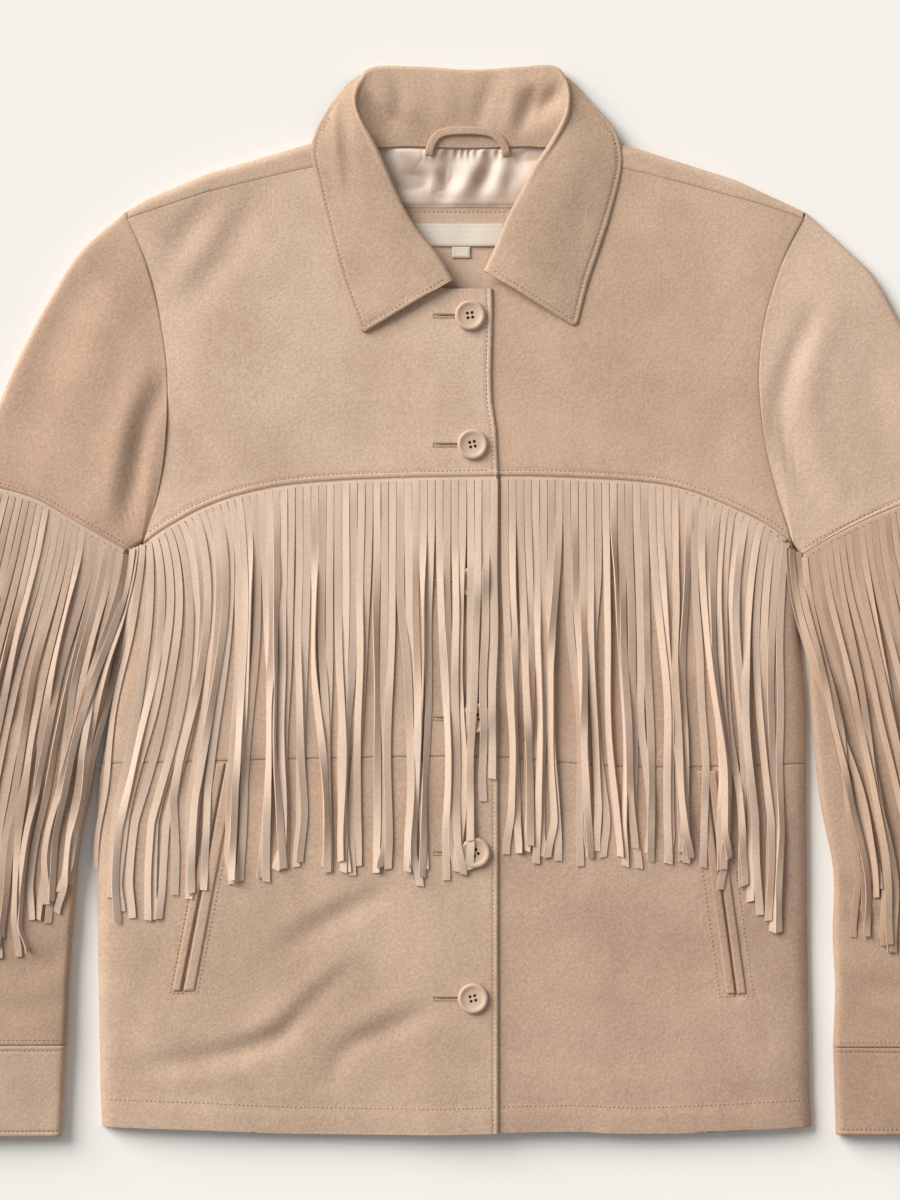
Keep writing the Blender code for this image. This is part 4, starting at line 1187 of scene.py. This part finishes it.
BUTTONS = [
    # x, y, how far its holes are turned, in degrees
    (*FIRST_BUTTON, 8), (4.9, 453.7, 12), (5.1, 363.0, -5),
    (7.3, 273.5, 20), (6.6, 184.8, 31), (5.2, 89.0, 14),
]
BUTTON_PROFILE = [
    # radius and height, from the middle of the face over the rim to the middle of the back
    (0.0, 1.9), (3.0, 1.9), (5.4, 2.0), (6.8, 2.35), (7.6, 2.8), (8.3, 3.0), (9.0, 2.95), (9.6, 2.6),
    (9.95, 1.9), (10.0, 1.2), (9.7, 0.5), (9.0, 0.1), (4.0, 0.0), (0.0, 0.0),
]
HOLE_SPACING = 2.2
HOLE_RADIUS = 1.05


def resin():
    horn = Finish("button_resin", {"Specular IOR Level": 0.45, "Coat Weight": 0.05, "Coat Roughness": 0.4})
    cloud = horn.noise(110.0, 3.0, 0.5)
    colour = horn.blend(cloud, linear(196, 167, 143), linear(213, 187, 164))
    specks = horn.noise(900.0, 2.0, 0.5)
    grain = horn.relief(specks, 0.03 * MM, 0.3)
    return horn.show(colour=colour, roughness=specks * 0.12 + 0.46, normal=grain)


def lathe(profile, sides):
    """A turned solid's points and faces, about its own axis."""
    inner = profile[1:-1]
    turn = np.linspace(0, 2 * math.pi, sides, endpoint=False)
    points = [(r * math.cos(t), r * math.sin(t), z) for r, z in inner for t in turn]
    faces = [list(face)[::-1] for face in grid_faces(len(inner), sides, 0, True)]
    faces += [list(range(sides)), list(range((len(inner) - 1) * sides, len(inner) * sides))[::-1]]
    return np.array(points), faces


def drilled(piece, places, radius):
    """Cuts round holes through a piece."""
    cutters = bpy.data.meshes.new("drill")
    rod, rod_faces = lathe([(0, 5), (radius, 5), (radius, -2), (0, -2)], 20)
    points, faces = [], []
    for x, y, z in places:
        faces += [[v + len(points) for v in face] for face in rod_faces]
        points += ((rod + (x, y, z)) * MM + ORIGIN).tolist()
    cutters.from_pydata(points, [], faces)
    drill = bpy.data.objects.new("drill", cutters)
    bpy.context.scene.collection.objects.link(drill)
    cut = piece.modifiers.new("holes", "BOOLEAN")
    cut.object = drill
    cut.solver = "EXACT"
    bpy.context.view_layer.update()
    shaped = bpy.data.meshes.new_from_object(piece.evaluated_get(bpy.context.evaluated_depsgraph_get()))
    piece.modifiers.clear()
    piece.data = shaped
    bpy.data.objects.remove(drill)
    piece.data.shade_smooth()
    piece.data.set_sharp_from_angle(angle=math.radians(40))


button_holes = []


def make_buttons():
    finish = resin()
    disc, faces = lathe(BUTTON_PROFILE, 64)
    for number, (x, y, turned) in enumerate(BUTTONS, 1):
        base = float(front_surface("right", np.array([x + 4.0]), np.array([y]))[0]) + 0.25
        points = disc + (x, y, base)
        button = build(f"button_{number}_resin", points, faces, finish)
        holes = []
        for quarter in range(4):
            angle = math.radians(turned) + math.radians(45 + 90 * quarter)
            holes.append((x + HOLE_SPACING * math.cos(angle), y + HOLE_SPACING * math.sin(angle), base))
        drilled(button, holes, HOLE_RADIUS)
        button_holes.extend(holes)
        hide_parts(f"button_{number}")


make_buttons()


# ---------------------------------------------------------------- stitching
# Topstitching and worked buttonholes in matching thread. Each stitch is a short plump length sunk at both
# ends.

THREAD = 0.34  # radius
STITCH_PITCH, STITCH_LENGTH = 2.9, 2.0
BUTTONHOLE_START = -21.0


class Ground:
    """The upper surface of the pieces made so far, for laying things on it."""

    def __init__(self, pieces):
        points, faces, start = [], [], 0
        for piece in pieces:
            mesh = piece.data
            mesh.calc_loop_triangles()
            co = np.empty(len(mesh.vertices) * 3)
            mesh.vertices.foreach_get("co", co)
            corners = np.empty(len(mesh.loop_triangles) * 3, dtype=int)
            mesh.loop_triangles.foreach_get("vertices", corners)
            points.append((co.reshape(-1, 3) - ORIGIN) / MM)
            faces.append(corners.reshape(-1, 3) + start)
            start += len(mesh.vertices)
        self.tree = BVHTree.FromPolygons(np.concatenate(points).tolist(), np.concatenate(faces).tolist())

    def height(self, x, y):
        spot = self.tree.ray_cast(Vector((x, y, 60.0)), Vector((0.0, 0.0, -1.0)))[0]
        return spot.z if spot else 0.0


def made_pieces(*words):
    """The pieces so far that have one of the words in their names."""
    meshes = [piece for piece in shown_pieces() if piece.type == "MESH"]
    return [piece for piece in meshes if any(word in piece.name for word in words)]


def thread_finish(name, light, shade):
    cotton = Finish(name, {"Sheen Weight": 0.15, "Specular IOR Level": 0.3})
    twist = cotton.noise(1500.0, 2.0, 0.5)
    colour = cotton.blend(twist, linear(*shade), linear(*light))
    plies = cotton.relief(twist, 0.05 * MM, 0.4)
    return cotton.show(colour=colour, roughness=twist * 0.1 + 0.7, normal=plies)


def beans(ends, ground, radius, lift):
    """Points and faces of closed stitches, each from one end to the other over the ground."""
    turn = np.linspace(0, 2 * math.pi, 5, endpoint=False)
    points, faces = [], []
    for start, end in ends:
        step = end - start
        side = np.array([-step[1], step[0]]) / max(np.linalg.norm(step), 1e-6)
        for share, size, rise in ((0.0, 0.45, -0.9), (0.22, 1.0, 0.25), (0.78, 1.0, 0.25), (1.0, 0.45, -0.9)):
            spot = start + step * share
            z = ground.height(*spot) + lift + radius * rise
            across_ring = radius * size * np.cos(turn)
            x, y = spot[0] + side[0] * across_ring, spot[1] + side[1] * across_ring
            points.append(np.column_stack([x, y, z + radius * size * np.sin(turn)]))
        base = 5 * (len(points) - 4)
        for ring in range(3):
            for k in range(5):
                a, b = base + 5 * ring + k, base + 5 * ring + (k + 1) % 5
                faces.append((b, a, a + 5, b + 5))
        faces += [tuple(range(base, base + 5)), tuple(range(base + 19, base + 14, -1))]
    return np.concatenate(points), faces


def along_line(line):
    """The ends of stitches set along a line."""
    run = run_along(line)
    starts = np.arange(0.4, run[-1] - STITCH_LENGTH, STITCH_PITCH)
    return list(zip(points_at(starts, run, line), points_at(starts + STITCH_LENGTH, run, line)))


def offset_line(line, distance):
    """A line moved sideways, to its left."""
    line = np.array(line)
    tangent = np.gradient(line, axis=0)
    side = np.column_stack([-tangent[:, 1], tangent[:, 0]])
    return line + side / np.linalg.norm(side, axis=1, keepdims=True) * distance


def between(line, low, high, axis=0):
    """The part of a line between two values of x, or of y."""
    return line[(line[:, axis] > low) & (line[:, axis] < high)]


def level(left, right, y):
    return np.array([(left, y), (right, y)])


def collar_stitch_lines():
    """Along each leaf's outer edge, round its tip and up its front edge to the roll line."""
    lines = []
    for rows in (collar_stations, collar_stations[::-1]):
        leaf = rows[: int(np.argmax(rows[:, 9] > 78.0))]
        outer, roll = leaf[:, 6:8], leaf[:, 3:5]
        inward = (roll - outer) / np.linalg.norm(roll - outer, axis=1, keepdims=True)
        edge = outer + inward * EDGE_STITCH
        along_edge = (outer[12] - outer[0]) / np.linalg.norm(outer[12] - outer[0])
        edge = edge[np.linalg.norm(outer - outer[0], axis=1) > EDGE_STITCH]
        front = np.array([roll[0] - inward[0] * 3.0, outer[0] + inward[0] * EDGE_STITCH])
        lines.append(np.concatenate([front + along_edge * EDGE_STITCH, edge]))
    return lines


def make_stitching():
    ground = Ground(made_pieces("suede", "satin", "panel"))
    tan = thread_finish("thread_tan", (196, 165, 136), (170, 138, 110))
    lap = smooth_line(LAP_EDGE, 300)
    yoke = offset_line(YOKE_LINE, EDGE_STITCH)
    hem = HEM_LINE + (0.0, HEM_STITCH)
    sleeves = {side: smooth_line(seam, 300) for side, seam in SLEEVE_SEAMS.items()}
    rows = {
        "yoke": [between(yoke, -209, 19), between(yoke, 23.5, 212)],
        "front_edge": [between(lap, 0, 548, axis=1) - (EDGE_STITCH, 0.0)],
        "hem": [between(hem, -238, 20), between(hem, 24, 227)],
        "collar": collar_stitch_lines(),
        "neck_facing": [np.array([(-37.0, 608.0), (0.0, 608.2), (27.0, 608.0)])],
        "sleeve_right": [
            offset_line(between(sleeves["right"][::-1], -326, -224), EDGE_STITCH),
            level(-266.0, -379.0, 53.8), level(-268.0, -379.0, 61.2), level(-268.0, -377.0, 1.2),
        ],
        "sleeve_left": [
            offset_line(between(sleeves["left"], 225, 326), EDGE_STITCH),
            level(246.0, 360.0, 52.3), level(246.0, 360.0, 59.7), level(247.5, 358.5, 2.2),
        ],
        "pocket_right": [np.array([(-165.2, 239.0), (-194.6, 92.0), (-176.4, 92.0), (-147.4, 239.0)])],
        "pocket_left": [np.array([(170.0, 234.0), (190.0, 90.0), (167.6, 90.0), (147.8, 234.0)])],
    }
    for name, lines in rows.items():
        ends = [pair for line in lines for pair in along_line(line)]
        build(f"stitches_{name}", *beans(ends, ground, THREAD, 0.05), tan)
    make_buttonholes(ground)


def make_buttonholes(ground):
    """Close stitches along both lips of each slit and a bar at its end, a dark strand of painted shade in
    each slit, and thread darkened as painted shade in the buttons' holes.
    """
    worked, slits = [], []
    for x, y, _ in BUTTONS:
        for place in np.arange(BUTTONHOLE_START, x - 4.0, 0.85):
            for lip in (1, -1):
                worked.append((np.array((place, y + lip * 0.35)), np.array((place, y + lip * 1.9))))
        for rise in (-1.2, -0.4, 0.4, 1.2):
            worked.append(tuple(level(BUTTONHOLE_START - 0.8, BUTTONHOLE_START + 0.4, y + rise)))
        slits.append(tuple(level(BUTTONHOLE_START + 0.6, x - 3.0, y)))
    thread = thread_finish("thread_buttonhole", (206, 180, 152), (178, 148, 120))
    build("buttonhole_thread", *beans(worked, ground, 0.42, 0.08), thread)
    # The dark strands in the slits are painted shade.
    shadow = thread_finish("thread_shadow", (112, 84, 62), (84, 60, 43))
    build("buttonhole_slits", *beans(slits, ground, 0.26, 0.06), shadow)
    # Real thread through the buttons' holes, coloured dark as painted shade of the deep, narrow holes.
    radius = HOLE_RADIUS + 0.05
    disc, disc_faces = lathe([(0, 0.5), (radius, 0.5), (radius, 0.1), (0, 0.1)], 16)
    points = np.concatenate([disc + hole for hole in button_holes])
    faces = [[v + k * len(disc) for v in face] for k in range(len(button_holes)) for face in disc_faces]
    build("button_thread_wells", points, faces, thread_finish("thread_well", (92, 68, 50), (66, 47, 34)))


make_stitching()


# ---------------------------------------------------------------- fringe
# Each fringe is one strip of suede caught in the seam above it and sliced into narrow strands just below it.
# The strands hang together at first, then gather, turn on edge and lie over one another, with ragged ends.

STRAND_WALL = 0.85
STRAND_RINGS = 66
BAND = 2.8  # uncut strip below the seam
STRAND_SECTION = np.array([
    # across in half widths, up in thicknesses
    (-1.0, 0.3), (-0.97, 0.5), (0.0, 0.5), (0.97, 0.5), (1.0, 0.3),
    (1.0, -0.3), (0.97, -0.5), (0.0, -0.5), (-0.97, -0.5), (-1.0, -0.3),
])
FRONT_FALL = {
    # where a strand starts across the front, where it ends, the y of its end, and how far it bows inward
    "right": [
        (-212, -240, 150, 0), (-204, -232, 146, 9), (-190, -214, 141, 14), (-184, -203, 142, 13),
        (-181, -199, 158, 12), (-166, -178, 156, 9), (-150, -157, 169, 5), (-130, -133, 166, 2),
        (-122, -123, 174, 0), (-40, -40, 172, 0), (-12, -13, 172, 0), (-6, -7, 168, 0), (0, -1, 176, 0),
        (6, 2, 178, 0), (11, 7, 205, 0), (16, 16, 229, 0), (22, 19, 229, 0),
    ],
    "left": [
        (24, 25, 186, 0), (60, 62, 181, 0), (140, 147, 180, 0), (158, 165, 181, -3), (171, 178, 168, -6),
        (184, 188, 160, -8), (192, 193, 150, -9), (198, 198, 137, -8), (216, 212, 134, -3),
    ],
}
UNDERARM_STRANDS = 4  # from the hidden side, showing between the sleeve and the body
SLEEVE_FALL = {
    # share of the way across the sleeve where a strand starts, how far across it drifts, the y of its end
    "right": [
        (-0.2, 0.06, 190), (0.0, 0.02, 147), (0.15, 0.02, 141), (0.28, 0.02, 126), (0.4, 0.01, 114),
        (1.0, -0.04, 112),
    ],
    "left": [
        (-0.2, 0.34, 170), (0.0, 0.19, 126), (0.15, 0.16, 118), (0.4, 0.10, 114), (0.7, 0.03, 118),
        (1.0, -0.02, 122),
    ],
}


class Relief:
    """Heights a millimetre apart, raised by each strand laid on them."""

    def __init__(self, ground, low, high):
        self.low = np.array(low, dtype=float)
        xs, ys = np.arange(low[0], high[0]), np.arange(low[1], high[1])
        self.z = np.array([[ground.height(x, y) for x in xs] for y in ys])

    def cells(self, plan):
        place = np.rint(plan - self.low).astype(int)
        place = np.clip(place, 0, np.array(self.z.shape[::-1]) - 1)
        return place[..., 1], place[..., 0]

    def read(self, plan):
        return self.z[self.cells(plan)]

    def lift(self, plan, height):
        np.maximum.at(self.z, self.cells(plan), height)


def smoothed(values, reach):
    """A row of values evened out, with its ends kept."""
    kernel = np.exp(-((np.arange(-3 * reach, 3 * reach + 1) / reach) ** 2) / 2)
    padded = np.pad(values, 3 * reach, mode="edge")
    return np.convolve(padded, kernel / kernel.sum(), mode="valid")


def fine(values, count):
    """More values, between those of a row."""
    places = np.linspace(0, len(values) - 1, count)
    whole = np.arange(len(values))
    if values.ndim == 1:
        return np.interp(places, whole, values)
    return np.column_stack([np.interp(places, whole, values[:, k]) for k in range(values.shape[1])])


def lay_strand(relief, line, width, roll, cup, cut):
    """The rings of one strand, resting on what lies beneath it."""
    tangent = np.gradient(line, axis=0)
    tangent /= np.linalg.norm(tangent, axis=1, keepdims=True)
    side = np.column_stack([-tangent[:, 1], tangent[:, 0]])
    half = width / 2
    right_side = relief.read(line + side * (half * 0.75)[:, None])
    left_side = relief.read(line - side * (half * 0.75)[:, None])
    tilt = np.arctan2(right_side - left_side, 1.6 * half)
    roll = roll + smoothed(np.clip(tilt, -0.6, 0.6), 2) * np.cos(roll) ** 2
    spans = np.linspace(-0.75, 0.75, 5)
    plan = line[:, None] + side[:, None] * (np.cos(roll)[:, None] * spans * half[:, None])[..., None]
    rise = np.sin(roll)[:, None] * spans * half[:, None]
    rest = (relief.read(plan) - rise).max(axis=1)
    spread = np.stack([np.roll(rest, k) for k in (-1, 0, 1)]).max(axis=0)
    spread[[0, -1]] = rest[[0, -1]]
    rest = smoothed(spread, 2) + STRAND_WALL / 2 + 0.1
    count = 5 * len(line)
    line_f, side_f, rest_f, roll_f, half_f = (fine(v, count) for v in (line, side, rest, roll, half))
    spans = np.linspace(-0.75, 0.75, 7)
    plan = line_f[:, None] + side_f[:, None] * (np.cos(roll_f)[:, None] * spans * half_f[:, None])[..., None]
    top = rest_f[:, None] + np.sin(roll_f)[:, None] * spans * half_f[:, None] + STRAND_WALL / 2
    relief.lift(plan.reshape(-1, 2), top.ravel())
    u, v = STRAND_SECTION[:, 0][None], STRAND_SECTION[:, 1][None]
    rise = v * STRAND_WALL + cup * (1 - u**2)
    out = np.cos(roll)[:, None] * u * half[:, None] - np.sin(roll)[:, None] * rise
    up = np.sin(roll)[:, None] * u * half[:, None] + np.cos(roll)[:, None] * rise
    rings = np.dstack([line[:, None] + side[:, None] * out[..., None], rest[:, None] + up])
    rings[-1, :, :2] += tangent[-1] * (STRAND_SECTION[:, 0] * cut)[:, None]
    return rings


def wander(draw, t, size, low, high):
    """A wave along a strand, of between low and high turns."""
    return size * np.sin(2 * math.pi * (draw.uniform(low, high) * t + draw.uniform(0, 1)))


def gathered(draw, count, tightness):
    """How far each strand of a row is drawn toward the middle of its gathering, in strands."""
    moves = np.zeros(count)
    start = 0
    while start < count:
        size = min(int(draw.choice([1, 2, 3, 4, 5, 6], p=[0.12, 0.22, 0.26, 0.2, 0.12, 0.08])), count - start)
        group = np.arange(start, start + size)
        centre = group.mean() + draw.normal(0.0, 0.75)
        moves[group] = (centre - group) * draw.uniform(tightness * 0.6, tightness)
        start += size
    return moves


def strand_twist(draw):
    """How far a strand turns out of the flat: most hardly, some well over, a few on edge."""
    kind = draw.uniform()
    if kind < 0.70:
        return math.radians(draw.uniform(2, 9))
    return math.radians(draw.uniform(14, 36) if kind < 0.87 else draw.uniform(50, 88))


def make_row(row, relief, lines, pitch, seed, tightness, finish, pinned):
    """Lays a row of strands along their lines and joins them into one piece."""
    draw = np.random.default_rng(seed)
    count = len(lines)
    moves = gathered(draw, count, tightness)
    late = gathered(draw, count, tightness)
    placed = {}
    for k in draw.permutation(count):
        line = lines[k]
        t = np.linspace(0, 1, len(line))
        free = ease(t, 0.04, draw.uniform(0.4, 0.8))
        hold = 0.0 if k >= count - pinned else 1.0
        sway = hold * moves[k] * pitch * ease(t, 0.06, draw.uniform(0.6, 0.95))
        sway += hold * late[k] * pitch * 0.6 * ease(t, draw.uniform(0.35, 0.6), 1.0)
        sway += free * (wander(draw, t, draw.uniform(0.4, 2.2), 0.5, 1.3) + wander(draw, t, 0.5, 1.6, 3.0))
        sway += draw.normal(0, 2.2) * ease(t, 0.3, 1.0) * (0.3 + 0.7 * hold)
        sway += draw.normal(0, 2.0) * ease(t, draw.uniform(0.84, 0.94), 1.0)
        line = line + np.column_stack([sway, np.zeros(len(t))])
        twist = strand_twist(draw)
        roll = draw.choice([-1, 1]) * twist * ease(t, 0.03, draw.uniform(0.2, 0.6))
        roll *= wander(draw, t, 1.0, 0.4, 1.3)
        roll += math.radians(draw.normal(0, 5.0)) * ease(t, 0.0, 0.06)
        width = (pitch - 0.1) * draw.uniform(0.92, 1.0) * (1 + 0.04 * free)
        placed[k] = lay_strand(relief, line, width, roll, draw.uniform(-0.15, 0.2), draw.uniform(-0.9, 0.9))
    strands = [placed[k] for k in range(count)]
    points, faces, tones, base = [], [], [], 0
    for k, rings in enumerate(strands):
        sides = rings.shape[1]
        end = base + len(rings) * sides
        points.append(rings.reshape(-1, 3))
        faces += [tuple(face) for face in grid_faces(len(rings), sides, base, True)]
        faces += [tuple(range(base + sides - 1, base - 1, -1)), tuple(range(end - sides, end))]
        tones.append(np.full(len(points[-1]), np.random.default_rng(seed * 100 + k).uniform()))
        base = end
    piece = build(f"fringe_{row}_strands", np.concatenate(points), faces, finish)
    mark(piece, "tone", np.concatenate(tones))
    lengths = [np.linalg.norm(np.diff(rings[:, 2], axis=0), axis=1).sum() for rings in strands]
    flat = (pitch * count * MM, max(lengths) * MM)
    area = min(0.98 * flat[0] * flat[1], (pitch - 0.3) * sum(lengths) * MM * MM)
    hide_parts(f"fringe_{row}")


def fringe_suede(name, light, shade, seed):
    """Suede again, each strand a little lighter or darker than the next."""
    hide = Finish(name, NAP)
    light, shade = linear(*light), linear(*shade)
    each = hide.attribute("tone")
    cloud = hide.noise(40.0, 3.0, 0.55, (1.0, 0.4, 1.0), seed)
    fibres = hide.noise(900.0, 3.0, 0.7, (1.0, 1.0, 1.0), seed)
    flecks = hide.noise(480.0, 2.0, 0.6, (1.0, 1.0, 1.0), seed + 7.0)
    share = each * 0.45 + cloud.ease(0.3, 0.7) * 0.25 + flecks.ease(0.3, 0.7) * 0.3
    colour = hide.blend(share, shade, light)
    colour = hide.blend(0.20 - fibres.ease(0.22, 0.78) * 0.28, colour, shade * DEEP)
    nap = hide.relief(fibres, 0.2 * MM, 0.5)
    return hide.show(colour=colour, roughness=fibres * 0.08 + 0.86, normal=nap)


def front_strands(side, count, first, last):
    """The lines that a front's strands would hang along if each hung alone."""
    seam = offset_line(YOKE_LINE, -BAND + 0.6)
    run = run_along(seam)
    low, high = (np.interp(x, seam[:, 0], run) for x in (first, last))
    pitch = (high - low) / count
    fall = np.array(FRONT_FALL[side], dtype=float)
    draw = np.random.default_rng(3 if side == "right" else 4)
    t = np.linspace(0, 1, STRAND_RINGS)
    lines = []
    for k in range(count):
        top = points_at([low + pitch * (k + 0.5)], run, seam)[0]
        end_x, end_y, bow = points_at([top[0]], fall[:, 0], fall[:, 1:])[0]
        end_y += draw.normal(0, 3.2)
        x = top[0] + (end_x - top[0]) * ease(t, 0.0, 1.0)
        x = x + bow * np.sin(math.pi * np.minimum(t / 0.75, 1.0) ** 0.75)
        lines.append(np.column_stack([x, top[1] + (end_y - top[1]) * t]))
    return lines, pitch


def sleeve_strands(side, count, stations):
    """The same for a sleeve, with some more strands beyond its inner edge, from under the arm."""
    seam = smooth_line(SLEEVE_SEAMS[side], 200)
    stations = smooth_line(np.array(stations), 300)
    fall = np.array(SLEEVE_FALL[side])
    draw = np.random.default_rng(5 if side == "right" else 6)
    toward_body = 1.0 if side == "right" else -1.0
    t = np.linspace(0, 1, STRAND_RINGS)
    lines = []
    for k in range(-UNDERARM_STRANDS, count):
        share = (k + 0.5) / count
        top = seam[int(round(max(share * (len(seam) - 1), 0)))] - (0.0, BAND)
        if k < 0:
            top = seam[0] - (k * 2.2 * toward_body, k * 0.9 - 1.0)
        drift, end_y = points_at([share], fall[:, 0], fall[:, 1:])[0]
        end_y += draw.normal(0, 4.0)
        y = top[1] + (end_y - top[1]) * t
        inner = np.interp(-y, -stations[:, 1], stations[:, 0])
        outer = np.interp(-y, -stations[:, 3], stations[:, 2])
        x = inner + (outer - inner) * (0.035 + 0.93 * (share + drift * ease(t, 0.0, 0.8)))
        lines.append(np.column_stack([x + (top[0] - x[0]) * (1 - ease(t, 0.0, 0.4)), y]))
    return lines, run_along(seam)[-1] / count


def make_band(name, line, ground, finish):
    """The uncut strip from which a row of strands hangs."""
    shares = np.linspace(0.0, 1.0, 7)[:, None, None]
    grid = offset_line(line, -BAND)[None] * (1 - shares) + offset_line(line, 0.3)[None] * shares
    base = np.array([[ground.height(x, y) for x, y in row] for row in grid])
    base = np.minimum(base, base[0][None] + 0.6)
    piece = laid(name, grid, base + 0.1 + STRAND_WALL, finish, wall=STRAND_WALL)
    mark(piece, "tone", np.full(len(piece.data.vertices), 0.6))


def make_fringes():
    ground = Ground(made_pieces("suede", "panel", "button", "stitches"))
    relief = Relief(ground, (-400, 95), (400, 445))
    # The left rows' tones are set darker as painted shade, away from the lamp.
    tones = {
        # light, shade and seed of each row
        "front_right": ((227, 203, 183), (207, 180, 158), 81.0),
        "front_left": ((223, 197, 176), (201, 173, 151), 83.0),
        "sleeve_right": ((216, 192, 172), (189, 161, 140), 85.0),
        "sleeve_left": ((206, 177, 153), (182, 152, 128), 87.0),
    }
    finishes = {row: fringe_suede(f"suede_fringe_{row}", *tone) for row, tone in tones.items()}
    edges = {
        "sleeve_right": smooth_line(SLEEVE_SEAMS["right"], 120)[3:-3][::-1],
        "sleeve_left": smooth_line(SLEEVE_SEAMS["left"], 120)[3:-3],
        "front_right": between(YOKE_LINE, -210, 21.4),
        "front_left": between(YOKE_LINE, 23.0, 213),
    }
    for row, edge in edges.items():
        make_band(f"fringe_band_{row}", edge, ground, finishes[row])
    for row, (lines, pitch), seed, tightness, over, pinned in (
        # how tightly the strands gather, the piece they lie on, how many at the front's edge hang straight
        ("front_right", front_strands("right", 47, -211.0, 21.6), 11, 0.56, "front_right_chest_suede", 2),
        ("front_left", front_strands("left", 39, 23.6, 214.0), 12, 0.6, "front_left_chest_suede", 0),
        ("sleeve_right", sleeve_strands("right", 25, RIGHT_SLEEVE), 13, 0.7, "lower_sleeve_right_suede", 0),
        ("sleeve_left", sleeve_strands("left", 25, LEFT_SLEEVE), 14, 0.7, "lower_sleeve_left_suede", 0),
    ):
        make_row(row, relief, lines, pitch, seed, tightness, finishes[row], pinned)


make_fringes()
